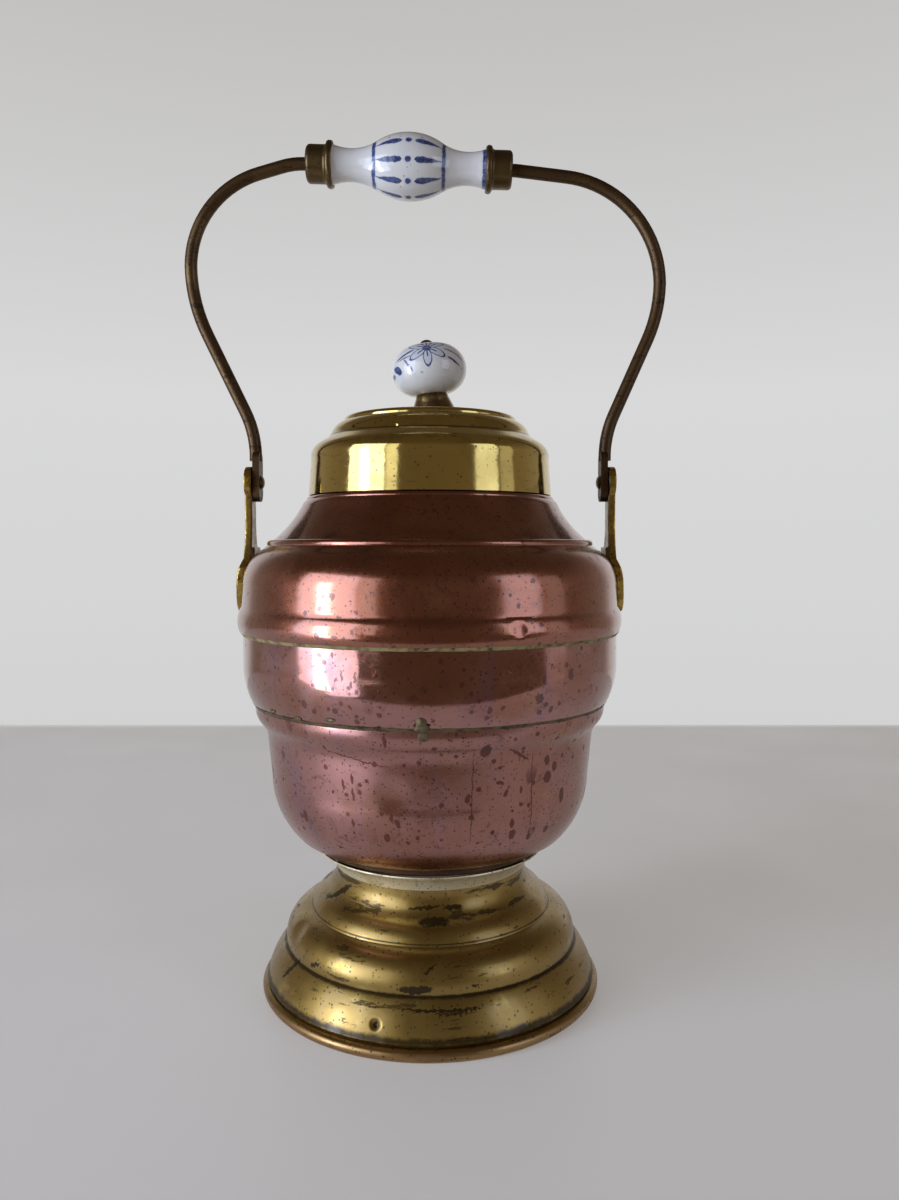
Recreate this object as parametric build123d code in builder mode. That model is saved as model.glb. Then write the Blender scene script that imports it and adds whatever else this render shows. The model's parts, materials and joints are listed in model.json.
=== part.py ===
from build123d import *
from math import cos, radians, sin, sqrt, tan
import os

# Lidded ember pot: copper body, brass foot and lid, porcelain knob and grip.
# Millimetres. Z = 0 is the table, the pot's axis is Z, and the bail's pivots lie along X.

# Sheet thickness and the gaps between pieces
copper_wall = 0.9
brass_wall = 1.0
collar_wall = 0.6
solder_gap = 0.1
loose_gap = 0.3
rivet_gap = 0.05
lap_gap = 0.4
solder_lap = 2.5

# Foot
rim_radius = 83.0
rim_roll_radius = 2.7
rim_worn_flat = 0.1
crease_radius = 80.7
crease_height = 7.2
skirt_top_radius = 72.3
skirt_top_height = 22.8
groove_radius = 71.2
groove_rise = 1.0
swell_radius = 71.3
swell_rise = 2.2
step_radius = 58.6
step_height = 39.6
lip_rise = 1.6
foot_neck_radius = 46.9
foot_neck_height = 58.5

# Collar between foot and bowl
collar_bottom_rise = 2.3
collar_top_height = 69.6
collar_bow = (-1.4, 0.2)

# Bowl
bowl_bottom_height = 64.7
bowl_bottom_radius = 36.4
bowl_corner_radius = 41.0
bowl_waist_radius = 79.3
bowl_waist_height = 125.5
bowl_rim_drop = 4.0
bowl_top_rise = 5.0

# Belly band
belly_edge_radius = 86.4
belly_edge_height = 142.0
belly_radius = 90.6
belly_full_height = 162.0
belly_lap = 5.3

# Shoulder and neck: each rise is measured from the height before it
bead_lip_height = 175.2
bead_radius = 92.95
bead_rise = 5.0
bead_top_radius = 90.9
bead_top_rise = 6.8
shoulder_radius = 90.3
shoulder_rise = 10.0
shoulder_round = 19.8
ridge_radius = 77.4
ridge_rise = 19.6
ridge_round = 1.4
flare_top_radius = 61.4
neck_ring_radius = 58.1
neck_ring_rise = 20.6
neck_ring_round = 1.9
neck_radius = 56.2
neck_length = 18.8

# Lid: each rise is measured from the height before it
lid_skirt_radius = 59.0
lid_skirt_top_radius = 57.7
lid_skirt_length = 17.0
lid_ledge_radius = 48.2
lid_ledge_rise = 11.6
lid_plate_radius = 41.4
lid_lip_rise = 6.6
lid_top_rise = 2.6
lid_hole_radius = 3.0

# Knob, which leans to the left on the lid
knob_lean = 6.2
knob_foot_x = 2.0
knob_base_radius = 12.2
knob_base_top_radius = 7.4
knob_base_height = 11.6
knob_base_wall = 0.8
knob_radius = 18.2
knob_height = 23.7
knob_widest_height = 11.5
knob_bottom_radius = 7.6
knob_top_radius = 4.6
screw_radius = 2.0
screw_head_radius = 3.9
screw_head_height = 2.8
screw_slot_width = 0.9
screw_slot_depth = 1.0
washer_radius = 6.0
washer_thickness = 0.8
nut_flats = 7.0
nut_height = 3.2
screw_end_length = 2.5

# Ears, where the bail hangs
ear_inner_x = 86.4
ear_thickness = 3.5
ear_heel = 1.5
ear_eye_radius = 7.7
ear_strap_width = 9.6
ear_pivot_rise = 18.3
ear_strap_flare_rise = 23.0
ear_shield_width = 25.0
ear_shield_rise = 8.0
ear_tip_rise = 8.0
ear_tip_radius = 4.0
ear_rivet_radius = 1.75
ear_rivet_rises = (2.5, 11.0)
ear_rivet_head_radius = 3.0
ear_rivet_head_height = 1.6
pivot_radius = 2.0
pivot_head_radius = 3.6
pivot_head_height = 1.5
pivot_tail_height = 0.7
pivot_clearance = 0.08

# Bail rod, seen from the front: left corners have negative x
rod_radius = 3.0
rod_foot_x = 85.2
rod_foot_rise = 10.5
rod_bends_left = [(-85.2, 270.4), (-115.4, 333.2), (-115.4, 384.1)]
rod_bends_right = [(111.0, 386.7), (111.0, 328.1), (85.2, 269.4)]
rod_radii_left = [50.0, 76.0, 46.0]
rod_radii_right = [51.5, 69.0, 50.0]
rod_kink_left = 6.6
rod_kink_right = 1.8
rod_kink_radius = 34.0
tab_inner_x = 82.8
tab_thickness = 3.3
tab_width = 9.4
tab_reach = 9.4
tab_overlap = 5.0

# Porcelain grip and its ferrules, along the grip's own axis from its centre
grip_x = -9.8
grip_height = 396.7
grip_slope = 1.8
grip_half_length = 37.0
grip_bulb_radius = 15.3
grip_band_at = 16.5
grip_band_radius = 10.4
grip_waist_at = 27.0
grip_waist_radius = 7.5
grip_end_radius = 9.2
grip_bore_clearance = 0.5
ferrule_length = 12.6
ferrule_lap = 0.4
ferrule_cap_radius = 8.8
ferrule_cap_round = 1.8
ferrule_flange_radius = 10.8
ferrule_flange_width = 4.6
ferrule_wall = 1.0

# Places worked out from the sizes above
rim_roll_height = rim_roll_radius - rim_worn_flat
rim_roll_center = (rim_radius - rim_roll_radius, rim_roll_height)
wire_radius = rim_roll_radius - brass_wall
bowl_corner_center = (bowl_bottom_radius, bowl_bottom_height + bowl_corner_radius)
bowl_side_radius = bowl_bottom_radius + bowl_corner_radius
bowl_rim_radius = belly_edge_radius - copper_wall - lap_gap
bowl_rim_height = belly_edge_height - bowl_rim_drop
bowl_top_height = belly_edge_height + bowl_top_rise
groove_height = skirt_top_height + groove_rise
swell_height = groove_height + swell_rise
lip_height = step_height + lip_rise
collar_bottom_height = foot_neck_height + collar_bottom_rise
belly_top_height = bead_lip_height + belly_lap
bead_lip_radius = belly_radius + copper_wall + lap_gap
bead_height = bead_lip_height + bead_rise
bead_top_height = bead_height + bead_top_rise
shoulder_height = bead_top_height + shoulder_rise
ridge_height = shoulder_height + ridge_rise
neck_ring_height = ridge_height + neck_ring_rise
neck_top_height = neck_ring_height + neck_length
shoulder_center = (shoulder_radius - shoulder_round, shoulder_height)
shoulder_end_height = ridge_height - 1.8 * ridge_round
lid_skirt_height = neck_ring_height + neck_ring_round + loose_gap
lid_skirt_top_height = lid_skirt_height + lid_skirt_length
lid_ledge_height = lid_skirt_top_height + lid_ledge_rise
lid_lip_height = lid_ledge_height + lid_lip_rise
lid_top_height = lid_lip_height + lid_top_rise
ear_shield_height = shoulder_height + ear_shield_rise
ear_strap_flare_height = ear_shield_height + ear_strap_flare_rise
pivot_height = ear_strap_flare_height + ear_pivot_rise
ear_tip_height = bead_lip_height + ear_tip_rise
ear_rivet_heights = [bead_top_height + rise for rise in ear_rivet_rises]
ferrule_end_at = grip_half_length - ferrule_lap + ferrule_length
grip_axis_direction = (cos(radians(grip_slope)), 0, -sin(radians(grip_slope)))
knob_axis_direction = (-sin(radians(knob_lean)), 0, cos(radians(knob_lean)))
knob_foot = (knob_foot_x, 0, lid_top_height)
knob_section = Plane(
    origin=knob_foot,
    x_dir=(cos(radians(knob_lean)), 0, sin(radians(knob_lean))),
    z_dir=(0, -1, 0),
)
knob_axis = Axis(knob_foot, knob_axis_direction)
grip_center = (grip_x, 0, grip_height)
grip_section = Plane(origin=grip_center, x_dir=grip_axis_direction, z_dir=(0, -1, 0))
grip_axis = Axis(grip_center, grip_axis_direction)

os.makedirs("parts", exist_ok=True)


def save(piece, name):
    piece.part.label = name
    export_step(piece.part, f"parts/{name}.step")


def bowl_radius_at(height):
    """Outer radius of the bowl's round bottom corner at a height."""
    rise = bowl_corner_center[1] - height
    return bowl_corner_center[0] + sqrt(bowl_corner_radius**2 - rise**2)


def bowl_height_at(radius):
    """Height of the bowl's round bottom corner at a radius."""
    run = radius - bowl_corner_center[0]
    return bowl_corner_center[1] - sqrt(bowl_corner_radius**2 - run**2)


# Foot: one spun sheet from its neck down over two swellings to the rolled rim
with BuildPart() as foot:
    with BuildSketch(Plane.XZ):
        with BuildLine():
            neck_top = bowl_height_at(foot_neck_radius - brass_wall) - solder_gap
            neck = Line((foot_neck_radius, neck_top), (foot_neck_radius, foot_neck_height))
            hollow_end = (foot_neck_radius + 4.5, foot_neck_height - 10.1)
            hollow = ThreePointArc(neck @ 1, (foot_neck_radius + 1.1, foot_neck_height - 5.5), hollow_end)
            lip = ThreePointArc(hollow @ 1, (step_radius - 2.6, lip_height + 4.0), (step_radius, lip_height))
            step = Line(lip @ 1, (step_radius + 0.6, step_height))
            swell_middle = (swell_radius - 4.4, swell_height + 9.7)
            swell = ThreePointArc(step @ 1, swell_middle, (swell_radius, swell_height))
            groove_side = Line(swell @ 1, (groove_radius, groove_height))
            groove = Line(groove_side @ 1, (skirt_top_radius, skirt_top_height))
            skirt_middle = (crease_radius - 3.6, crease_height + 8.6)
            skirt = ThreePointArc(groove @ 1, skirt_middle, (crease_radius, crease_height))
            Line(skirt @ 1, (rim_roll_center[0] - rim_roll_radius + brass_wall / 2, rim_roll_height))
            offset(amount=brass_wall, side=Side.RIGHT)
        make_face()
        with Locations(rim_roll_center):
            Circle(rim_roll_radius)
            Circle(wire_radius, mode=Mode.SUBTRACT)
    revolve(axis=Axis.Z)
    split(bisect_by=Plane.XY, keep=Keep.TOP)
save(foot, "foot")

# The wire inside the rolled rim
with BuildPart() as foot_rim_wire:
    with BuildSketch(Plane.XZ):
        with Locations(rim_roll_center):
            Circle(wire_radius)
    revolve(axis=Axis.Z)
save(foot_rim_wire, "foot_rim_wire")

# Collar: a flared ring that holds the bowl on the foot's neck
with BuildPart() as foot_collar:
    with BuildSketch(Plane.XZ):
        with BuildLine():
            bottom = (foot_neck_radius + solder_gap, collar_bottom_height)
            inner_top_height = collar_top_height - collar_wall / 2
            top = (bowl_radius_at(inner_top_height) + solder_gap, inner_top_height)
            middle = ((bottom[0] + top[0]) / 2 + collar_bow[0], (bottom[1] + top[1]) / 2 + collar_bow[1])
            ThreePointArc(bottom, middle, top)
            offset(amount=collar_wall, side=Side.RIGHT)
        make_face()
    revolve(axis=Axis.Z)
save(foot_collar, "foot_collar")

# Bowl: flat bottom, round corner, straight side and a flared rim inside the belly band
with BuildPart() as bowl:
    with BuildSketch(Plane.XZ):
        with BuildLine():
            floor = Line((0, bowl_bottom_height), (bowl_bottom_radius, bowl_bottom_height))
            corner_middle = (
                bowl_corner_center[0] + bowl_corner_radius * sin(radians(45)),
                bowl_corner_center[1] - bowl_corner_radius * cos(radians(45)),
            )
            corner = ThreePointArc(floor @ 1, corner_middle, (bowl_side_radius, bowl_corner_center[1]))
            side = Line(corner @ 1, (bowl_waist_radius, bowl_waist_height))
            flare_end = ((bowl_waist_radius + bowl_rim_radius) / 2, (bowl_waist_height + bowl_rim_height) / 2)
            flare = TangentArc(side @ 1, flare_end, tangent=side % 1)
            rim_rise = TangentArc(flare @ 1, (bowl_rim_radius, bowl_rim_height), tangent=flare % 1)
            Line(rim_rise @ 1, (bowl_rim_radius, bowl_top_height))
            offset(amount=copper_wall, side=Side.LEFT)
        make_face()
    revolve(axis=Axis.Z)
save(bowl, "bowl")

# Belly band: laps over the bowl's rim and goes up inside the shoulder's bead
with BuildPart() as belly_band:
    with BuildSketch(Plane.XZ):
        with BuildLine():
            belly_middle = (belly_radius - 1.6, belly_edge_height + 6.4)
            round_side = ThreePointArc(
                (belly_edge_radius, belly_edge_height), belly_middle, (belly_radius, belly_full_height)
            )
            Line(round_side @ 1, (belly_radius, belly_top_height))
            offset(amount=copper_wall, side=Side.LEFT)
        make_face()
    revolve(axis=Axis.Z)
save(belly_band, "belly_band")


def shoulder_radius_at(height):
    """Outer radius of the shoulder's side at a height between its bead and its ridge."""
    if height < shoulder_height:
        slope = (shoulder_radius - bead_top_radius) / (shoulder_height - bead_top_height)
        return bead_top_radius + slope * (height - bead_top_height)
    return shoulder_center[0] + sqrt(shoulder_round**2 - (height - shoulder_height) ** 2)


def shoulder_bead(grow=0):
    """Outline of the bead above the upper seam, drawn into the open line."""
    return ThreePointArc(
        (bead_lip_radius + grow, bead_lip_height),
        (bead_radius + grow, bead_height),
        (bead_top_radius + grow, bead_top_height),
    )


def shoulder_side(grow=0):
    """Outline of the shoulder from its bead to its ridge, drawn into the open line."""
    middle_height = (shoulder_height + shoulder_end_height) / 2
    rise = Line((bead_top_radius + grow, bead_top_height), (shoulder_radius + grow, shoulder_height))
    return ThreePointArc(
        rise @ 1,
        (shoulder_radius_at(middle_height) + grow, middle_height),
        (shoulder_radius_at(shoulder_end_height) + grow, shoulder_end_height),
    )


# Shoulder: bead over the upper seam, round shoulder, ridge, flare, neck ring and neck
with BuildPart() as shoulder:
    with BuildSketch(Plane.XZ):
        with BuildLine():
            shoulder_bead()
            round_end = shoulder_side() @ 1
            ridge_foot = (ridge_radius + 0.9 * ridge_round, ridge_height - 0.7 * ridge_round)
            Line(round_end, ridge_foot)
            ridge_side = (ridge_radius + 0.8 * ridge_round, ridge_height + 0.6 * ridge_round)
            ridge_top = (ridge_radius - 1.1 * ridge_round, ridge_height + ridge_round)
            ridge = ThreePointArc(ridge_foot, ridge_side, ridge_top)
            flare_top = (flare_top_radius, neck_ring_height - 1.2)
            flare_middle = (flare_top_radius + 6.1, flare_top[1] - 9.6)
            flare_side = ThreePointArc(ridge @ 1, flare_middle, flare_top)
            ring_side = (neck_ring_radius + neck_ring_round, neck_ring_height)
            ring_top = (neck_ring_radius, neck_ring_height + neck_ring_round)
            ring = TangentArc(ring_side, ring_top, tangent=(0, 1))
            Line(flare_side @ 1, ring @ 0)
            ledge = Line(ring @ 1, (neck_radius, ring_top[1]))
            Line(ledge @ 1, (neck_radius, neck_top_height))
            offset(amount=copper_wall, side=Side.LEFT)
        make_face()
    revolve(axis=Axis.Z)
    with BuildSketch(Plane.YZ):
        with Locations(*[(0, height) for height in ear_rivet_heights]):
            Circle(ear_rivet_radius + rivet_gap)
    extrude(amount=rim_radius + bead_radius, both=True, mode=Mode.SUBTRACT)
save(shoulder, "shoulder")


def seam_solder(name, wall_radius, lip_radius, lip_height, drop):
    """Ring of solder: a strip up inside the lap and a small fillet under the lip."""
    inner = wall_radius + rivet_gap
    lap_radius = lip_radius - copper_wall - rivet_gap
    with BuildPart() as solder:
        with BuildSketch(Plane.XZ):
            with BuildLine():
                Polyline(
                    (inner, lip_height - drop),
                    (inner, lip_height + solder_lap),
                    (lap_radius, lip_height + solder_lap),
                    (lap_radius, lip_height - rivet_gap),
                    (lip_radius - solder_gap, lip_height - rivet_gap),
                    close=True,
                )
            make_face()
        revolve(axis=Axis.Z)
    save(solder, name)


seam_solder("upper_seam_solder", belly_radius, bead_lip_radius, bead_lip_height, 1.6)
seam_solder("lower_seam_solder", bowl_rim_radius, belly_edge_radius, belly_edge_height, 1.8)


# What the ears' shields rest on: the shoulder's outside, made solid and a solder gap larger
with BuildPart() as shoulder_core:
    with BuildSketch(Plane.XZ):
        with BuildLine():
            core_bead = shoulder_bead(solder_gap)
            core_side = shoulder_side(solder_gap)
            Polyline(core_side @ 1, (0, shoulder_end_height), (0, bead_lip_height), core_bead @ 0)
        make_face()
    revolve(axis=Axis.Z)

# Right ear, cast in one: an eye and strap that stand free, and a shield that hugs the shoulder
with BuildPart() as right_ear:
    # Shield: a band round the shoulder, cut to the shield's outline
    with BuildSketch(Plane.XZ):
        with BuildLine():
            Line((bead_top_radius, bead_lip_height), (bead_top_radius, bead_top_height))
            shoulder_side()
            offset(amount=ear_thickness, side=Side.RIGHT)
        make_face()
    revolve(axis=Axis.Z)
    with BuildSketch(Plane.YZ) as shield_outline:
        with BuildLine():
            half_strap = ear_strap_width / 2
            half_shield = ear_shield_width / 2
            strap_side = (half_strap, ear_strap_flare_height)
            shield_side = (half_shield, ear_shield_height)
            flare_middle = (half_strap + 2.4, (ear_strap_flare_height + ear_shield_height) / 2 - 2.0)
            flare = ThreePointArc(strap_side, flare_middle, shield_side)
            tip_side = (ear_tip_radius, ear_tip_height + ear_tip_radius / 2)
            lobe_middle = (half_shield - 1.4, (ear_shield_height + tip_side[1]) / 2 + 1.5)
            lobe = ThreePointArc(shield_side, lobe_middle, tip_side)
            ThreePointArc(tip_side, (0, ear_tip_height), (-tip_side[0], tip_side[1]))
            mirror(flare, about=Plane.YZ)
            mirror(lobe, about=Plane.YZ)
            Line(strap_side, (-half_strap, ear_strap_flare_height))
        make_face()
    extrude(amount=2 * ear_inner_x, mode=Mode.INTERSECT)
    split(bisect_by=Plane.YZ.offset(ear_inner_x - ear_heel), keep=Keep.TOP)
    # Eye and strap: flat, running down into the shield
    with BuildSketch(Plane.YZ.offset(ear_inner_x)):
        with Locations((0, pivot_height)):
            Circle(ear_eye_radius)
        with Locations((0, (pivot_height + ear_strap_flare_height) / 2)):
            Rectangle(ear_strap_width, pivot_height - ear_strap_flare_height)
        add(shield_outline.face())
        with Locations((0, ear_shield_height - ear_shield_width)):
            Rectangle(2 * ear_shield_width, 2 * ear_shield_width, mode=Mode.SUBTRACT)
    extrude(amount=ear_thickness)
    add(shoulder_core.part, mode=Mode.SUBTRACT)
    # Holes for the pivot and for the rivets that fasten the ear
    with BuildSketch(Plane.YZ):
        with Locations((0, pivot_height)):
            Circle(pivot_radius + rivet_gap)
        with Locations(*[(0, height) for height in ear_rivet_heights]):
            Circle(ear_rivet_radius + rivet_gap)
    extrude(amount=2 * ear_inner_x, mode=Mode.SUBTRACT)
save(right_ear, "right_ear")

with BuildPart() as left_ear:
    mirror(right_ear.part, about=Plane.YZ)
save(left_ear, "left_ear")


def rivet_outline(height, start, end, radius, head_radius, head_height, tail_height=0):
    """Half of a rivet along X, drawn into the open line: a round head and, if any, a low tail."""
    crown = TangentArc((start - head_height, height), (start, height + head_radius), tangent=(0, 1))
    shank = Polyline(crown @ 1, (start, height + radius), (end, height + radius))
    if tail_height:
        tail = TangentArc((end + tail_height, height), (end, height + head_radius), tangent=(0, 1))
        Line(shank @ 1, tail @ 1)
        Line(tail @ 0, crown @ 0)
    else:
        Polyline(shank @ 1, (end, height), crown @ 0)


# Rivets that fasten the ears: heads inside the pot, ends flush with the shields
with BuildPart() as ear_rivets:
    for height in ear_rivet_heights:
        wall_inside = shoulder_radius_at(height + ear_rivet_head_radius) - copper_wall
        with BuildSketch(Plane.XZ):
            with BuildLine():
                rivet_outline(
                    height,
                    wall_inside - solder_gap,
                    shoulder_radius_at(height) + ear_thickness,
                    ear_rivet_radius,
                    ear_rivet_head_radius,
                    ear_rivet_head_height,
                )
            make_face()
        revolve(axis=Axis((0, 0, height), (1, 0, 0)))
    mirror(about=Plane.YZ)
save(ear_rivets, "ear_rivets")

# Pivot rivets: the bail's tabs turn on them, between the ear and the inner head
with BuildPart() as pivot_rivets:
    with BuildSketch(Plane.XZ):
        with BuildLine():
            rivet_outline(
                pivot_height,
                tab_inner_x - loose_gap,
                ear_inner_x + ear_thickness + rivet_gap,
                pivot_radius,
                pivot_head_radius,
                pivot_head_height,
                pivot_tail_height,
            )
        make_face()
    revolve(axis=Axis((0, 0, pivot_height), (1, 0, 0)))
    mirror(about=Plane.YZ)
save(pivot_rivets, "pivot_rivets")

# Bail: one rod from tab to tab, straight through the ferrules and the grip
kink_left = grip_section.from_local_coords((-(ferrule_end_at + rod_kink_left), 0))
kink_right = grip_section.from_local_coords((ferrule_end_at + rod_kink_right, 0))
rod_foot_height = pivot_height + rod_foot_rise
rod_corners = [(-rod_foot_x, rod_foot_height), *rod_bends_left, (kink_left.X, kink_left.Z)]
rod_corners += [(kink_right.X, kink_right.Z), *rod_bends_right, (rod_foot_x, rod_foot_height)]
rod_radii = [*rod_radii_left, rod_kink_radius, rod_kink_radius, *rod_radii_right]
with BuildPart() as bail_rod:
    with BuildLine(Plane.XZ) as rod_path:
        FilletPolyline(*rod_corners, radius=rod_radii)
    with BuildSketch(Plane(origin=rod_path.wire() @ 0, z_dir=rod_path.wire() % 0)):
        Circle(rod_radius)
    sweep(path=rod_path.wire())
    tab_length = tab_reach + rod_foot_rise + tab_overlap
    with BuildSketch(Plane.YZ.offset(tab_inner_x)):
        with Locations((0, pivot_height - tab_reach + tab_length / 2)):
            SlotOverall(tab_length, tab_width, rotation=90)
        with Locations((0, pivot_height)):
            Circle(pivot_radius + pivot_clearance, mode=Mode.SUBTRACT)
    tab = extrude(amount=tab_thickness)
    mirror(tab, about=Plane.YZ)
save(bail_rod, "bail_rod")


def ferrule(name, side):
    """Spun cap beside the grip: a cup with a rod hole, and a flange that laps the porcelain."""
    open_end = grip_half_length - ferrule_lap
    cup_end = open_end + ferrule_length
    seat_radius = grip_end_radius + loose_gap
    seat_end = grip_half_length + loose_gap
    hole = rod_radius + rivet_gap
    hollow = ferrule_cap_radius - ferrule_wall
    with BuildPart() as cap:
        with BuildSketch(grip_section):
            with BuildLine():
                lip_end = open_end + 0.6 * ferrule_flange_width
                flange = ThreePointArc(
                    (side * open_end, ferrule_flange_radius - 0.7),
                    (side * (open_end + lip_end) / 2, ferrule_flange_radius),
                    (side * lip_end, ferrule_flange_radius - 0.6),
                )
                neck = ThreePointArc(
                    flange @ 1,
                    (side * (lip_end + 0.5), ferrule_cap_radius + 0.4),
                    (side * (open_end + ferrule_flange_width), ferrule_cap_radius),
                )
                side_line = Line(neck @ 1, (side * (cup_end - ferrule_cap_round), ferrule_cap_radius))
                corner = ThreePointArc(
                    side_line @ 1,
                    (side * (cup_end - 0.3 * ferrule_cap_round), ferrule_cap_radius - 0.3 * ferrule_cap_round),
                    (side * cup_end, ferrule_cap_radius - ferrule_cap_round),
                )
                Polyline(
                    corner @ 1,
                    (side * cup_end, hole),
                    (side * (cup_end - ferrule_wall), hole),
                    (side * (cup_end - ferrule_wall), hollow - ferrule_cap_round / 2),
                    (side * (cup_end - ferrule_cap_round), hollow),
                    (side * seat_end, hollow),
                    (side * seat_end, seat_radius),
                    (side * open_end, seat_radius),
                    flange @ 0,
                )
            make_face()
        revolve(axis=grip_axis)
    save(cap, name)


ferrule("left_ferrule", -1)
ferrule("right_ferrule", 1)

# Grip: a porcelain tube with a bulb between two bands, a waist each side and flared ends
with BuildPart() as grip:
    with BuildSketch(grip_section):
        with BuildLine():
            bore = rod_radius + grip_bore_clearance
            ThreePointArc(
                (-grip_band_at, grip_band_radius), (0, grip_bulb_radius), (grip_band_at, grip_band_radius)
            )
            for side in (-1, 1):
                ThreePointArc(
                    (side * grip_band_at, grip_band_radius),
                    (side * grip_waist_at, grip_waist_radius),
                    (side * grip_half_length, grip_end_radius),
                )
                Line((side * grip_half_length, grip_end_radius), (side * grip_half_length, bore))
            Line((-grip_half_length, bore), (grip_half_length, bore))
        make_face()
    revolve(axis=grip_axis)
save(grip, "grip")

# Lid: a spun cap with a deep skirt, a round edge, a ledge, an upper step and a flat plate
with BuildPart() as lid:
    with BuildSketch(Plane.XZ):
        with BuildLine():
            skirt = Line((lid_skirt_radius, lid_skirt_height), (lid_skirt_top_radius, lid_skirt_top_height))
            edge_end = (lid_skirt_top_radius - 3.0, lid_skirt_top_height + 7.4)
            edge = ThreePointArc(
                skirt @ 1, (lid_skirt_top_radius - 0.5, lid_skirt_top_height + 4.2), edge_end
            )
            cove = Line(edge @ 1, (lid_ledge_radius + 0.8, lid_ledge_height - 0.6))
            ledge = Line(cove @ 1, (lid_ledge_radius, lid_ledge_height + 0.8))
            step_end = (lid_plate_radius + 1.4, lid_lip_height)
            step_middle = (lid_ledge_radius - 2.0, (lid_ledge_height + lid_lip_height) / 2 + 0.9)
            upper_step = ThreePointArc(ledge @ 1, step_middle, step_end)
            groove = Line(upper_step @ 1, (lid_plate_radius + 0.3, lid_lip_height + 0.2))
            lip = ThreePointArc(
                groove @ 1,
                (lid_plate_radius + 0.1, lid_top_height - 1.0),
                (lid_plate_radius - 1.2, lid_top_height),
            )
            Line(lip @ 1, (0, lid_top_height))
            offset(amount=brass_wall, side=Side.LEFT)
        make_face()
    revolve(axis=Axis.Z)
    with BuildSketch(Plane.XY.offset(lid_top_height)):
        with Locations((knob_foot_x, 0)):
            Circle(lid_hole_radius)
    extrude(amount=-3 * brass_wall, mode=Mode.SUBTRACT)
save(lid, "lid")

# Knob base: a thin cone that leans, trimmed level where it stands on the lid
with BuildPart() as knob_base:
    below = 2 * brass_wall
    slope = (knob_base_radius - knob_base_top_radius) / knob_base_height
    with BuildSketch(knob_section):
        with BuildLine():
            Polyline(
                (knob_base_radius + slope * below, -below),
                (knob_base_top_radius, knob_base_height),
                (screw_radius + loose_gap, knob_base_height),
            )
            offset(amount=knob_base_wall, side=Side.LEFT)
        make_face()
    revolve(axis=knob_axis)
    split(bisect_by=Plane.XY.offset(lid_top_height), keep=Keep.TOP)
save(knob_base, "knob_base")

# Knob: oblate porcelain on the cone
with BuildPart() as knob:
    with BuildSketch(knob_section):
        with BuildLine():
            bore = screw_radius + grip_bore_clearance
            bottom = knob_base_height
            top = knob_base_height + knob_height
            widest = (knob_radius, bottom + knob_widest_height)
            under = TangentArc(widest, (knob_bottom_radius, bottom), tangent=(0, -1))
            over = TangentArc(widest, (knob_top_radius, top), tangent=(0, 1))
            Polyline(under @ 1, (bore, bottom), (bore, top), over @ 1)
        make_face()
    revolve(axis=knob_axis)
save(knob, "knob")

# Screw through the knob, its cone and the lid, with a slotted round head
nut_corner = nut_flats / sqrt(3)
nut_top = -(brass_wall + washer_thickness + rivet_gap) / cos(radians(knob_lean))
nut_top -= nut_corner * tan(radians(knob_lean))
with BuildPart() as knob_screw:
    head_start = knob_base_height + knob_height
    screw_end = nut_top - nut_height - screw_end_length
    with BuildSketch(knob_section):
        with BuildLine():
            crown = (0, head_start + screw_head_height)
            dome = TangentArc(crown, (screw_head_radius, head_start), tangent=(1, 0))
            Polyline(
                dome @ 1, (screw_radius, head_start), (screw_radius, screw_end), (0, screw_end), dome @ 0
            )
        make_face()
    revolve(axis=knob_axis)
    slot_plane = Plane(origin=knob_axis.position, z_dir=knob_axis.direction)
    with BuildSketch(slot_plane.offset(head_start + screw_head_height)):
        Rectangle(2 * screw_head_radius, screw_slot_width)
    extrude(amount=-screw_slot_depth, mode=Mode.SUBTRACT)
save(knob_screw, "knob_screw")

# Washer, flat under the lid's plate
with BuildPart() as knob_washer:
    with BuildSketch(Plane.XY.offset(lid_top_height - brass_wall)):
        with Locations((knob_foot_x + brass_wall * tan(radians(knob_lean)), 0)):
            Circle(washer_radius)
            Circle(lid_hole_radius, mode=Mode.SUBTRACT)
    extrude(amount=-washer_thickness)
save(knob_washer, "knob_washer")

# Nut on the leaning screw
with BuildPart() as knob_nut:
    with BuildSketch(slot_plane.offset(nut_top)):
        RegularPolygon(nut_flats / 2, 6, major_radius=False)
        Circle(screw_radius + rivet_gap, mode=Mode.SUBTRACT)
    extrude(amount=-nut_height)
save(knob_nut, "knob_nut")
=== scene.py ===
# %% [markdown]
# A lidded ember pot: a copper body soldered from three spun pieces, on a brass foot, with a
# brass slip-on lid, a porcelain knob and a bail with a porcelain grip. The construction comes
# ready made in the frame, in metres. This lesson gives it what the lathe and a hundred years
# gave the real one: thin sheet that isn't quite round, dents, rough solder, tarnish and paint.

# %% Load the frame
import json
from math import atan2, cos, hypot, pi, radians, sin

import bmesh
import bpy
from mathutils import Euler, Matrix, Vector, kdtree, noise


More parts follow.
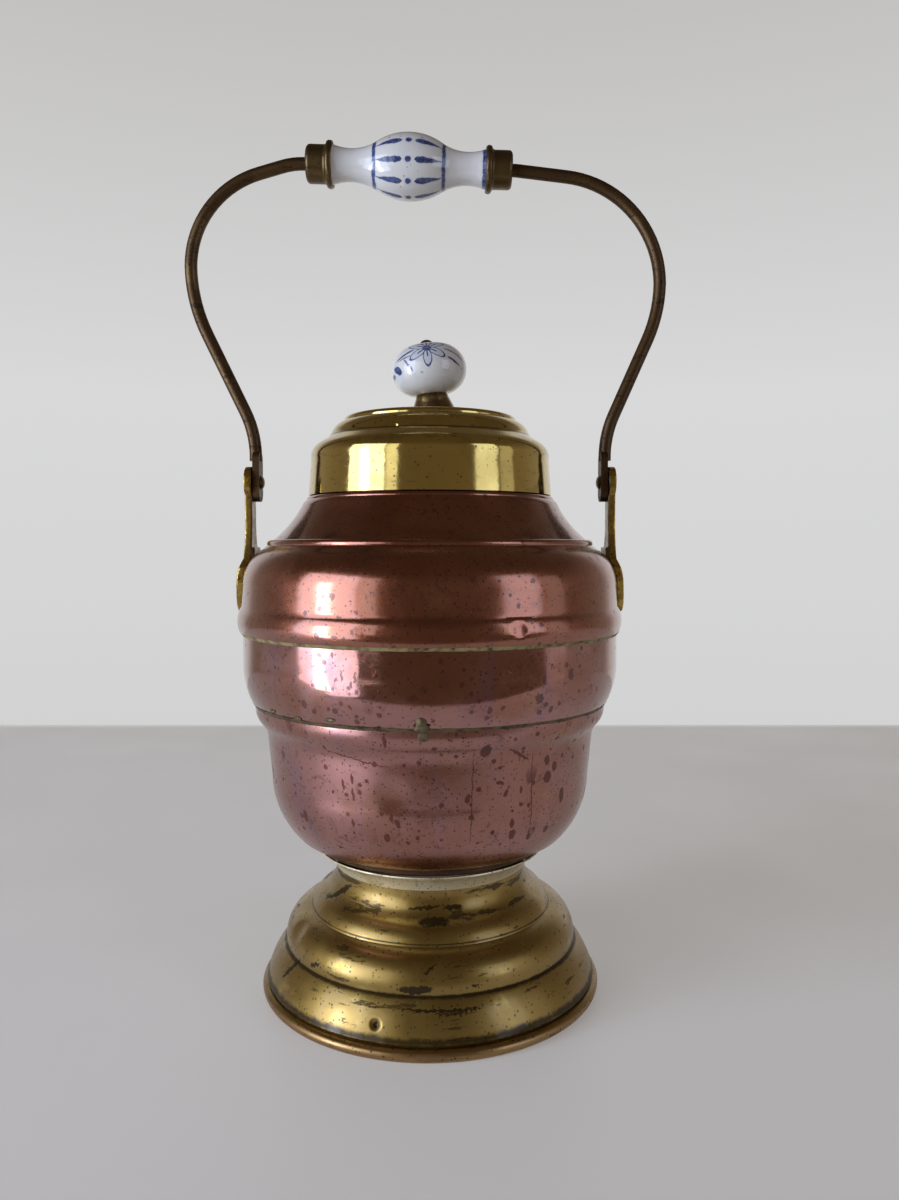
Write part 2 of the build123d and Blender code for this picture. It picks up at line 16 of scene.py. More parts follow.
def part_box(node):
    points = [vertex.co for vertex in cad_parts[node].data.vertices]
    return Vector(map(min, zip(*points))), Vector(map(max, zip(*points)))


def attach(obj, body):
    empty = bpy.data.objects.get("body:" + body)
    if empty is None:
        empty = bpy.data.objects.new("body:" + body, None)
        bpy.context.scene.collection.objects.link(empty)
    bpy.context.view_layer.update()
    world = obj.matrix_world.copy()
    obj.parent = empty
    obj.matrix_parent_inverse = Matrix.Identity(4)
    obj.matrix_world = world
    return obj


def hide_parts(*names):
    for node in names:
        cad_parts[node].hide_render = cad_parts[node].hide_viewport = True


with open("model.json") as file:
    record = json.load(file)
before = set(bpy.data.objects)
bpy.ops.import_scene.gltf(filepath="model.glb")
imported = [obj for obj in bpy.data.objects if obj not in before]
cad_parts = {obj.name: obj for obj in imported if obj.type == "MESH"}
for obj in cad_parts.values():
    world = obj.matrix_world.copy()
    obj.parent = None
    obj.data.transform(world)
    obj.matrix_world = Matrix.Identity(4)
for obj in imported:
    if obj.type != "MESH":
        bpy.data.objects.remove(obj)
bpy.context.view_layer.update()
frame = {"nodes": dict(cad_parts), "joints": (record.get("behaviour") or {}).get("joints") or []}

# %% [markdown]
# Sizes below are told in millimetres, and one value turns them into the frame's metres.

nodes = frame["nodes"]
mm = 0.001

# %% [markdown]
# The camera stands where the photograph was taken from: a little to the right of the pot,
# at half its height, close by, looking slightly down. A pinhole camera needs its focal
# length in pixels, and Blender takes it as a lens in millimetres on a 36 mm sensor.

# %% Camera
photo_width, photo_height = 899, 1200
focal_pixels = 915.0
sensor_height = 36.0
camera_place = Vector((0.0094, -0.4505, 0.2155))
camera_pitch = radians(3.4)

camera_data = bpy.data.cameras.new("camera")
camera_data.sensor_fit = "VERTICAL"
camera_data.sensor_height = sensor_height
camera_data.lens = sensor_height * focal_pixels / photo_height
camera = bpy.data.objects.new("camera", camera_data)
camera.location = camera_place
camera.rotation_euler = (pi / 2 - camera_pitch, 0, 0)
bpy.context.scene.collection.objects.link(camera)
bpy.context.scene.camera = camera
bpy.context.scene.view_settings.view_transform = "Standard"
print("lens:", round(camera_data.lens, 2), "mm")

# %% [markdown]
# A mark on the pot is easiest to place by where the photograph shows it. A ray from the
# camera through that pixel meets the frame at one point. On a round body a point is best
# told by how far round it lies and how high, so a mark is kept as those two, in millimetres.

# %% From a pixel of the photograph to a place on the pot
unroll_radius = 90.0


def ray_through(column, row):
    """Direction from the camera through a pixel of the photograph."""
    ray = Vector((column - photo_width / 2, photo_height / 2 - row, -focal_pixels))
    ray.rotate(camera.rotation_euler)
    return ray.normalized()


def place_on_pot(column, row):
    """Point of the frame that a pixel shows, and how many millimetres one pixel is there."""
    graph = bpy.context.evaluated_depsgraph_get()
    hit, point, *_ = bpy.context.scene.ray_cast(graph, camera_place, ray_through(column, row))
    if not hit:
        raise ValueError(f"pixel {column}, {row} shows no part of the pot")
    return point, (point - camera_place).length / focal_pixels / mm


def unrolled_mark(column, row, half_width, half_height, turn=0):
    """A mark seen at a pixel, as an oval on the unrolled pot: middle, half sizes and turn."""
    point, scale = place_on_pot(column, row)
    radius = hypot(point.x, point.y) / mm
    bearing = atan2(point.x, -point.y)
    widen = unroll_radius / radius / max(cos(bearing), 0.25)
    return (
        (bearing * unroll_radius, point.z / mm),
        (half_width * scale * widen, half_height * scale),
        radians(turn),
    )


# %% [markdown]
# The stage is a plain, pale satin table. It could go on for ever, but polished metal would
# then mirror a white floor on all sides, so it ends behind the pot and in front of it.

# %% Table
table_back = 0.64
table_front = -0.32
table_half_width = 3.0


def mesh_object(name, shape):
    """A new object at the origin from a bmesh, which is freed."""
    mesh = bpy.data.meshes.new(name)
    shape.to_mesh(mesh)
    shape.free()
    piece = bpy.data.objects.new(name, mesh)
    bpy.context.scene.collection.objects.link(piece)
    return piece


table_shape = bmesh.new()
bmesh.ops.create_grid(table_shape, x_segments=2, y_segments=2, size=1.0)
table_middle = (table_back + table_front) / 2
table_half_depth = (table_back - table_front) / 2
bmesh.ops.scale(table_shape, verts=table_shape.verts, vec=(table_half_width, table_half_depth, 1))
bmesh.ops.translate(table_shape, verts=table_shape.verts, vec=(0, table_middle, 0))
table = mesh_object("table", table_shape)
print("table from y =", table_front, "to", table_back)

# %% [markdown]
# Metal shows the room it stands in, so the world needs some shape. It is pale behind the pot,
# where the camera looks, darker overhead, and dark and warm on the camera's side. Three ramps
# along the room's own directions do this without a picture of a room.

# %% World
world = bpy.data.worlds.new("room")
world.use_nodes = True
bpy.context.scene.world = world
room = world.node_tree
room_direction = room.nodes.new("ShaderNodeTexCoord")
room_axes = room.nodes.new("ShaderNodeSeparateXYZ")
room.links.new(room_direction.outputs["Generated"], room_axes.inputs[0])


def room_light_at(level):
    """Dark parts of the room are warm, pale parts are grey."""
    pale = min(1.0, level / 0.55)
    return (level, level * (0.68 + 0.32 * pale), level * (0.36 + 0.645 * pale), 1)


def room_ramp(socket, low, high, stops):
    """Levels of light along one direction of the room, from its low end to its high end."""
    span = room.nodes.new("ShaderNodeMapRange")
    span.inputs["From Min"].default_value = low
    span.inputs["From Max"].default_value = high
    room.links.new(socket, span.inputs["Value"])
    ramp = room.nodes.new("ShaderNodeValToRGB")
    while len(ramp.color_ramp.elements) < len(stops):
        ramp.color_ramp.elements.new(0.5)
    for element, (position, level) in zip(ramp.color_ramp.elements, stops):
        element.position = position
        element.color = room_light_at(level)
    room.links.new(span.outputs[0], ramp.inputs[0])
    return ramp.outputs[0]


def room_mix(factor, first, second):
    mix = room.nodes.new("ShaderNodeMix")
    mix.data_type = "RGBA"
    room.links.new(factor, mix.inputs[0])
    room.links.new(first, mix.inputs[6])
    room.links.new(second, mix.inputs[7])
    return mix.outputs[2]


around = room_ramp(
    room_axes.outputs["Y"], -1, 1, [(0.0, 0.15), (0.3, 0.18), (0.6, 0.24), (0.86, 0.34), (0.93, 0.64)]
)
overhead = room_ramp(room_axes.outputs["Z"], 0.20, 1, [(0.0, 0.0), (0.5, 0.85), (1.0, 1.0)])
ceiling = room_ramp(room_axes.outputs["Y"], -1, 1, [(0.0, 0.09), (0.5, 0.09), (0.8, 0.09), (1.0, 0.18)])
backdrop = room_ramp(
    room_axes.outputs["Z"], -0.2, 0.65, [(0.0, 0.64), (0.2, 0.67), (0.42, 0.69), (0.85, 0.52), (1.0, 0.16)]
)
behind = room_ramp(room_axes.outputs["Y"], 0.64, 0.78, [(0.0, 0.0), (1.0, 1.0)])
shown = room_mix(behind, room_mix(overhead, around, ceiling), backdrop)
room.links.new(shown, room.nodes["Background"].inputs["Color"])
room.nodes["Background"].inputs["Strength"].default_value = 1.0


# %% [markdown]
# The bright upright patches on the copper are windows. An area lamp gives each its shape and
# its light at once. The left one is wide with a bright core, and the right one is smaller,
# weaker and starts higher, so that it shows on the shoulder but not on the belly.


# %% Windows
def window(name, bearing, distance, width, bottom, top, radiance, tint=(1, 1, 1)):
    """A soft upright lamp at a bearing from the pot's front, of a given brightness."""
    data = bpy.data.lights.new(name, "AREA")
    data.shape = "RECTANGLE"
    data.size = width
    data.size_y = top - bottom
    data.energy = radiance * pi * data.size * data.size_y
    data.color = tint
    lamp = bpy.data.objects.new(name, data)
    angle = radians(bearing)
    lamp.location = (distance * sin(angle), -distance * cos(angle), (top + bottom) / 2)
    lamp.rotation_euler = (pi / 2, 0, angle)
    lamp.visible_camera = False
    bpy.context.scene.collection.objects.link(lamp)
    return lamp


daylight = (0.94, 1.0, 1.09)
blue_daylight = (0.88, 1.0, 1.28)
window("left_window", -60, 1.6, 1.10, -0.45, 1.15, 3.1, blue_daylight)
window("left_window_core", -61, 1.55, 0.24, -0.35, 0.62, 7.5, daylight)
window("left_curtain", -34, 1.6, 0.30, 0.02, 1.05, 1.4, daylight)
window("right_window", 54, 1.6, 0.66, 0.10, 1.15, 1.35, blue_daylight)
window("right_curtain", 76, 1.6, 0.40, -0.45, 0.9, 0.4, daylight)

# %% [markdown]
# The real sheets were spun over wooden forms, so each is a surface of revolution. The frame
# already has the exact profile, so it is read from there: cut the node by a half plane
# through its axis, keep the cut line, snap its points to the node's own corners, and spin
# it again with even, small faces. Such a mesh can take dents, which the frame must not.


# %% Profile of a node and a new spin
def axis_frame(point, direction):
    """Matrix from an axis's own frame, where it is Z, to the row frame."""
    return Matrix.Translation(point) @ Vector(direction).to_track_quat("Z", "Y").to_matrix().to_4x4()


def remove_far_side(shape):
    gone = [v for v in shape.verts if v.co.y > 1e-7]
    bmesh.ops.delete(shape, geom=gone, context="VERTS")


def profile_of(node, to_row):
    """The node's outline in the half plane in front of the axis, as a bmesh of edges."""
    shape = bmesh.new()
    shape.from_mesh(nodes[node].data)
    bmesh.ops.transform(shape, matrix=to_row.inverted(), verts=shape.verts)
    bmesh.ops.remove_doubles(shape, verts=shape.verts, dist=1e-6)
    corners = kdtree.KDTree(len(shape.verts))
    for vertex in shape.verts:
        corners.insert((0, -hypot(vertex.co.x, vertex.co.y), vertex.co.z), vertex.index)
    corners.balance()
    everything = shape.verts[:] + shape.edges[:] + shape.faces[:]
    bmesh.ops.bisect_plane(
        shape,
        geom=everything,
        dist=1e-7,
        plane_co=(0, 0, 0),
        plane_no=(1, 0, 0),
        clear_inner=True,
        clear_outer=True,
    )
    remove_far_side(shape)
    strays = []
    for vertex in shape.verts:
        corner, _, distance = corners.find(vertex.co)
        if distance < 0.09 * mm:
            vertex.co = corner
        else:
            strays.append(vertex)
    bmesh.ops.dissolve_verts(shape, verts=strays)
    bmesh.ops.remove_doubles(shape, verts=shape.verts, dist=0.04 * mm)
    return shape


def divide_long_edges(shape, longest):
    """Cuts each edge of a profile so that none is longer than this."""
    for edge in shape.edges[:]:
        cuts = int(edge.calc_length() / longest)
        if cuts:
            bmesh.ops.subdivide_edges(shape, edges=[edge], cuts=cuts)


def spin_round(shape, steps):
    """Spins a profile once round Z and closes it, with its faces outwards."""
    bmesh.ops.spin(
        shape,
        geom=shape.verts[:] + shape.edges[:],
        cent=(0, 0, 0),
        axis=(0, 0, 1),
        angle=2 * pi,
        steps=steps,
        use_merge=True,
    )
    bmesh.ops.remove_doubles(shape, verts=shape.verts, dist=1e-6)
    bmesh.ops.recalc_face_normals(shape, faces=shape.faces)


def shade(shape, sharp_angle=32):
    """Smooth faces, with the edges that turn by more than an angle left sharp."""
    for face in shape.faces:
        face.smooth = True
    for edge in shape.edges:
        edge.smooth = edge.calc_face_angle(0.0) < radians(sharp_angle)


pot_axis = Matrix.Identity(4)
print("profile points of the foot:", len(profile_of("foot", pot_axis).verts))

# %% [markdown]
# Thin sheet that was soldered, carried and knocked is never true. Three small moves make it
# so: a slow wave over the whole sheet, a little ovalness, and single dents where the
# photograph shows them. A dent needs finer faces around it before it is pressed in.


# %% Waves and dents
def wave(shape, amount, size, seed, still_below=-1.0):
    """Moves each point of a sheet in or out by a slow noise, but not below a height."""
    offset = Vector((seed * 7.3, seed * 3.1, seed * 5.7))
    for vertex in shape.verts:
        height = vertex.co.z
        if height < still_below:
            continue
        flat = Vector((vertex.co.x, vertex.co.y, 0))
        if flat.length < 1e-6:
            continue
        outer = flat.normalized()
        sample = Vector((outer.x * 0.09, outer.y * 0.09, height))
        ease = min(1.0, (height - still_below) / (8 * mm)) if still_below >= 0 else 1.0
        vertex.co += outer * (noise.noise(sample / size + offset) * amount * ease)


def dent(shape, middle, radius, depth, direction):
    """Presses a round dent into a sheet, after its faces there are made finer."""
    middle = Vector(middle)
    near = [f for f in shape.faces if (f.calc_center_median() - middle).length < 1.6 * radius]
    edges = list({edge for face in near for edge in face.edges})
    longest = max(edge.calc_length() for edge in edges)
    cuts = min(6, int(longest / (0.22 * radius)))
    if cuts > 0:
        bmesh.ops.subdivide_edges(shape, edges=edges, cuts=cuts, use_grid_fill=True)
    inward = Vector(direction).normalized()
    for vertex in shape.verts:
        share = (vertex.co - middle).length / radius
        if share < 1:
            vertex.co += inward * (depth * (1 - share * share) ** 2)


def respun(name, node, body, steps, longest=2.4 * mm, axis=pot_axis, change=None):
    """A new sheet spun from a node's profile, which it then stands for."""
    shape = profile_of(node, axis)
    divide_long_edges(shape, longest)
    spin_round(shape, steps)
    if change:
        change(shape)
    bmesh.ops.transform(shape, matrix=axis, verts=shape.verts)
    shade(shape)
    piece = mesh_object(name, shape)
    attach(piece, body)
    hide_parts(node)
    print(name, "faces:", len(piece.data.polygons))
    return piece


# %% [markdown]
# Each dent and pit is named by its pixel in the photograph. The rays need the bare nodes,
# so every place is read here, before a new spin stands for a node.

# %% Places of marks, read before any node is hidden
foot_dent_at, _ = place_on_pot(375.5, 1025)
foot_left_dent_at, _ = place_on_pot(298, 932)
bowl_dent_at, _ = place_on_pot(393, 797)
bowl_right_dent_at, _ = place_on_pot(494, 823)
bead_nick_at, _ = place_on_pot(520, 630)
belly_dent_at, _ = place_on_pot(338, 668)
lid_pit_at, _ = place_on_pot(396, 426)
blob_at, _ = place_on_pot(421, 722)
blob_foot_at, _ = place_on_pot(423, 737)
seam_lumps_at = [place_on_pot(column, 724 - rise)[0] for column, rise in ((273, 13), (298, 6), (330, 4))]

# Spots that show in the photograph: column, row, half width, half height and turn, in pixels
shoulder_spots_seen = [
    (332, 597, 3.0, 3.7, 10),
    (323, 596, 1.3, 1.9),
    (319, 609, 1.9, 2.7),
    (339, 617, 3.0, 1.6),
    (356, 613, 3.2, 1.6, -40),
    (373, 608, 0.9, 3.2),
    (350, 601, 1.6, 1.0),
    (533, 581, 2.7, 3.2),
    (499, 581, 2.0, 2.0),
    (519, 576, 1.3, 1.1),
    (316, 636, 3.0, 4.2),
    (334, 638, 4.2, 2.2),
    (344, 639, 1.6, 2.0),
    (352, 632, 2.2, 2.8),
]
belly_spots_seen = [
    (319, 655, 2.5, 2.8),
    (324, 662, 3.0, 3.0),
    (332, 655, 1.3, 3.0),
    (341, 676, 1.2, 6.0, 8),
    (355, 678, 1.7, 5.0),
    (351, 685, 1.8, 3.8, -10),
    (373, 671, 2.9, 4.4),
    (341, 704, 2.2, 3.2),
    (350, 708, 1.4, 3.4, 25),
    (304, 704, 3.4, 5.0),
    (326, 688, 1.3, 3.0),
    (461, 685, 2.8, 2.8),
    (471, 694, 2.4, 2.6),
    (415, 698, 2.8, 2.4),
    (571, 675, 2.8, 6.0),
    (539, 712, 2.8, 3.4),
    (490, 710, 2.6, 4.8),
    (540, 699, 4.6, 5.4),
    (551, 709, 2.4, 4.0),
    (544, 680, 2.4, 6.0),
]
bowl_spots_seen = [
    (384, 742, 2.0, 7.5),
    (486, 751, 6.0, 7.4),
    (519, 754, 13.5, 1.7, -26),
    (547, 760, 2.8, 5.6),
    (554, 766, 2.8, 5.6),
    (547, 777, 4.2, 6.6),
    (533, 782, 2.3, 2.6),
    (500, 783, 4.6, 2.6, -20),
    (506, 793, 2.2, 4.6, -30),
    (352, 779, 1.4, 6.0, 5),
    (353, 795, 1.6, 7.0, 5),
    (343, 785, 1.6, 6.0, 5),
    (333, 792, 1.6, 2.3),
    (306, 816, 2.8, 6.6),
    (468, 799, 2.8, 5.0),
    (512, 823, 2.4, 5.0),
    (512, 834, 3.6, 5.6),
    (528, 836, 2.6, 3.8),
    (545, 829, 2.6, 4.6),
    (561, 795, 2.6, 8.0),
    (398, 824, 2.2, 6.0, 35),
    (353, 823, 1.8, 4.6),
    (392, 818, 2.2, 5.6),
    (387, 838, 3.0, 4.6),
    (408, 843, 2.4, 2.8),
    (418, 838, 1.8, 2.8),
    (521, 790, 1.7, 3.8),
    (521, 804, 1.9, 2.4),
    (512, 811, 1.5, 1.7),
    (357, 760, 35.0, 0.8, -10),
    (472, 800, 0.6, 52.0),
    (531, 795, 0.6, 48.0, 3),
]
# On the foot, some of these are painted shade and painted dark reflection, as noted below; the rest are marks
# and scratches.
foot_marks_and_shade_seen = [
    (415, 990, 17.0, 4.0, 2),
    (430, 970, 7.0, 1.2, 25),
    (440, 1011, 42.0, 1.3, -1),
    (455, 1014, 20.0, 1.0),
    # These three are painted dark reflection of the room, on the front of the foot's upper flare.
    (434, 922, 15.0, 3.2),
    (424, 908, 16.0, 1.8, 3),
    (452, 907, 10.0, 2.6),
    # Painted shadow under the collar's edge.
    (342, 891, 8.0, 3.6, 20),
    # Painted shade in the foot's dent.
    (375.5, 1026, 2.2, 3.0),
    (315, 965, 6.0, 2.0, 20),
    (476, 985, 4.0, 1.2),
    (292, 968, 6.0, 3.0, 50),
]


def unrolled(seen):
    return [unrolled_mark(*mark) for mark in seen]


shoulder_spots = unrolled(shoulder_spots_seen)
belly_spots = unrolled(belly_spots_seen)
bowl_spots = unrolled(bowl_spots_seen)
foot_marks_and_shade = unrolled(foot_marks_and_shade_seen)
print("marks placed:", len(shoulder_spots) + len(belly_spots) + len(bowl_spots) + len(foot_marks_and_shade))

# %% [markdown]
# The brass foot is one sheet, rolled over a wire at its rim so that it stands stiff. It took
# the most knocks. The rim stays true, because the pot rests on it.


# %% Foot
def age_foot(shape):
    wave(shape, 0.30 * mm, 38 * mm, 1, still_below=4 * mm)
    wave(shape, 0.08 * mm, 12 * mm, 2, still_below=4 * mm)
    dent(shape, foot_dent_at, 3.0 * mm, 1.1 * mm, (0.35, 0.9, -0.2))
    dent(shape, foot_left_dent_at, 8.0 * mm, 0.8 * mm, (0.6, 0.5, -0.5))


foot_sheet = respun("foot_sheet", "foot", "pot", steps=240, change=age_foot)

# %% [markdown]
# The copper body: bowl, belly band and shoulder. The waves are strongest on the bowl, where
# the windows' reflections wobble most in the photograph.


# %% Copper body
def age_bowl(shape):
    wave(shape, 0.34 * mm, 34 * mm, 3, still_below=72 * mm)
    dent(shape, bowl_dent_at, 9.0 * mm, 0.55 * mm, (0.1, 1, 0))
    dent(shape, bowl_right_dent_at, 10.0 * mm, 0.45 * mm, (-0.4, 1, 0))


def age_belly(shape):
    wave(shape, 0.22 * mm, 30 * mm, 4)
    dent(shape, belly_dent_at, 9.0 * mm, 0.25 * mm, (0.3, 1, 0))


def age_shoulder(shape):
    wave(shape, 0.24 * mm, 36 * mm, 5)
    dent(shape, bead_nick_at, 4.5 * mm, 0.5 * mm, (-0.4, 1, 0))


bowl_sheet = respun("bowl_sheet", "bowl", "pot", steps=240, change=age_bowl)
belly_sheet = respun("belly_sheet", "belly_band", "pot", steps=240, change=age_belly)
shoulder_sheet = respun("shoulder_sheet", "shoulder", "pot", steps=240, change=age_shoulder)


# %% [markdown]
# The lid is brass of the same thickness, but it is short and stiff, so its waves are small.
# A dropped tool left one pit in its edge.


# %% Lid
def age_lid(shape):
    wave(shape, 0.12 * mm, 30 * mm, 6)
    dent(shape, lid_pit_at, 1.6 * mm, 0.5 * mm, (0.2, 0.8, -0.5))


lid_sheet = respun("lid_sheet", "lid", "lid", steps=220, change=age_lid)

# %% [markdown]
# Solder ran along both seams by hand, so each ring is lumpy: thick where the iron stopped,
# almost nothing elsewhere. The ring is spun from the node's profile with many steps and then
# pushed in and out by two noises. Where the iron was lifted, a blob and a run stayed.


# %% Solder
def roughen_ring(shape, seed, amount, fine, lump_bearing=None):
    """Makes a solder ring uneven, and fatter around one bearing from the front."""
    offset = Vector((seed * 11.0, 2.0, seed * 3.0))
    for vertex in shape.verts:
        outer = Vector((vertex.co.x, vertex.co.y, 0)).normalized()
        slow = noise.noise(outer * 5.0 + offset)
        quick = noise.noise(outer * 38.0 + offset)
        push = amount * slow + fine * quick
        if lump_bearing is not None:
            away = atan2(outer.x, -outer.y) - radians(lump_bearing)
            push += 1.1 * amount * max(0.0, cos(away)) ** 6
        vertex.co += outer * push
        vertex.co.z += 0.5 * fine * noise.noise(outer * 60.0 - offset)


def age_upper_solder(shape):
    roughen_ring(shape, 1, 0.16 * mm, 0.16 * mm)


def age_lower_solder(shape):
    roughen_ring(shape, 2, 0.35 * mm, 0.22 * mm, lump_bearing=-38)


upper_solder = respun("upper_solder", "upper_seam_solder", "pot", 420, 0.6 * mm, change=age_upper_solder)
lower_solder = respun("lower_solder", "lower_seam_solder", "pot", 420, 0.6 * mm, change=age_lower_solder)


def solder_blob(shape, middle, size, seed):
    """One lump of set solder, pressed against the wall and never quite round."""
    lump = bmesh.ops.create_icosphere(shape, subdivisions=3, radius=1.0)["verts"]
    outer = Vector((middle.x, middle.y, 0)).normalized()
    turn = Matrix.Rotation(atan2(outer.x, -outer.y), 4, "Z")
    for vertex in lump:
        bump = 1 + 0.22 * noise.noise(vertex.co * 1.6 + Vector((seed, 0, 0)))
        vertex.co = Vector((vertex.co.x * size[0], vertex.co.y * size[1], vertex.co.z * size[2])) * bump
    bmesh.ops.transform(shape, matrix=Matrix.Translation(middle) @ turn, verts=lump)


blob_shape = bmesh.new()
solder_blob(blob_shape, blob_at, (2.3 * mm, 1.6 * mm, 2.3 * mm), 1)
solder_blob(blob_shape, blob_at + Vector((0.3 * mm, 0, -2.6 * mm)), (3.3 * mm, 1.2 * mm, 1.8 * mm), 2)
solder_blob(blob_shape, blob_foot_at, (2.4 * mm, 0.5 * mm, 2.2 * mm), 3)
for number, lump_at in enumerate(seam_lumps_at):
    solder_blob(blob_shape, lump_at, (2.4 * mm, 0.8 * mm, 1.0 * mm), 5 + number)
shade(blob_shape)
solder_runs = mesh_object("solder_runs", blob_shape)
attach(solder_runs, "pot")
print("solder runs faces:", len(solder_runs.data.polygons))

# %% [markdown]
# The ears are rough castings: their edges are soft and their skin is grainy. A voxel remesh
# of the node gives even small faces, smoothing rounds the edges, and a fine noise roughens
# them.


# %% Ears
def cast(name, node, voxel):
    """A casting from a node: remeshed, smoothed and roughened."""
    piece = mesh_object(name, copied(node))
    remesh = piece.modifiers.new("cast", "REMESH")
    remesh.mode = "VOXEL"
    remesh.voxel_size = voxel
    soften = piece.modifiers.new("soften", "SMOOTH")
    soften.factor = 0.5
    soften.iterations = 5
    settled = bpy.data.meshes.new_from_object(piece.evaluated_get(bpy.context.evaluated_depsgraph_get()))
    piece.modifiers.clear()
    piece.data = settled
    shape = bmesh.new()
    shape.from_mesh(settled)
    for vertex in shape.verts:
        grain = noise.noise(vertex.co / (3.5 * mm)) + 0.4 * noise.noise(vertex.co / (1.2 * mm))
        vertex.co += vertex.normal * grain * 0.07 * mm
    shade(shape, 180)
    shape.to_mesh(settled)
    shape.free()
    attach(piece, "pot")
    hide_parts(node)
    print(name, "faces:", len(settled.polygons))
    return piece


def copied(node):
    """A merged copy of a node's mesh."""
    shape = bmesh.new()
    shape.from_mesh(nodes[node].data)
    bmesh.ops.remove_doubles(shape, verts=shape.verts, dist=1e-6)
    return shape


left_cast_ear = cast("left_cast_ear", "left_ear", 0.42 * mm)
right_cast_ear = cast("right_cast_ear", "right_ear", 0.42 * mm)

# %% [markdown]
# The ferrules are thin spun caps whose open edge was crimped unevenly on the porcelain.

# %% Ferrules
grip_joint = next(joint for joint in frame["joints"] if joint["name"] == "grip_spin")
grip_middle = Vector(grip_joint["pos_m"])
grip_direction = Vector(grip_joint["axis"]).normalized()
grip_axis = axis_frame(grip_middle, grip_direction)
porcelain_half_length = 37 * mm


def age_ferrule(shape):
    """Bends the open edge of a ferrule in and out, most near the porcelain."""
    for vertex in shape.verts:
        past_edge = abs(vertex.co.z) - porcelain_half_length
        hold = max(0.0, 1 - max(past_edge, 0) / (3.5 * mm))
        outer = Vector((vertex.co.x, vertex.co.y, 0)).normalized()
        crimp = noise.noise(outer * 3.2 + Vector((0, 0, vertex.co.z * 400)))
        vertex.co += outer * (0.28 * mm * hold * crimp)
        vertex.co.z += 0.35 * mm * hold * noise.noise(outer * 4.5)


left_cap = respun("left_cap", "left_ferrule", "bail", 120, 0.8 * mm, grip_axis, age_ferrule)
right_cap = respun("right_cap", "right_ferrule", "bail", 120, 0.8 * mm, grip_axis, age_ferrule)

# %% [markdown]
# Every finish is built from the same few moves, so they are gathered in one small class:
# noise for cloudy patches, cells for spots, ovals for single marks, a ramp for colours and
# a bump for the grain. All sizes are in millimetres on the object itself, read from the
# Object coordinates, so a pattern stays put when a body moves.


# %% A finish and its moves
def paint(red, green, blue):
    """A colour as a screen shows it, from 0 to 255, turned into scene light."""
    levels = [value / 255 for value in (red, green, blue)]
    linear = [v / 12.92 if v <= 0.04045 else ((v + 0.055) / 1.055) ** 2.4 for v in levels]
    return (*linear, 1)


def socket_name(keyword):
    """The shader's name for a socket that is written as a Python keyword."""
    return keyword.replace("_", " ").title().replace("Ior", "IOR")


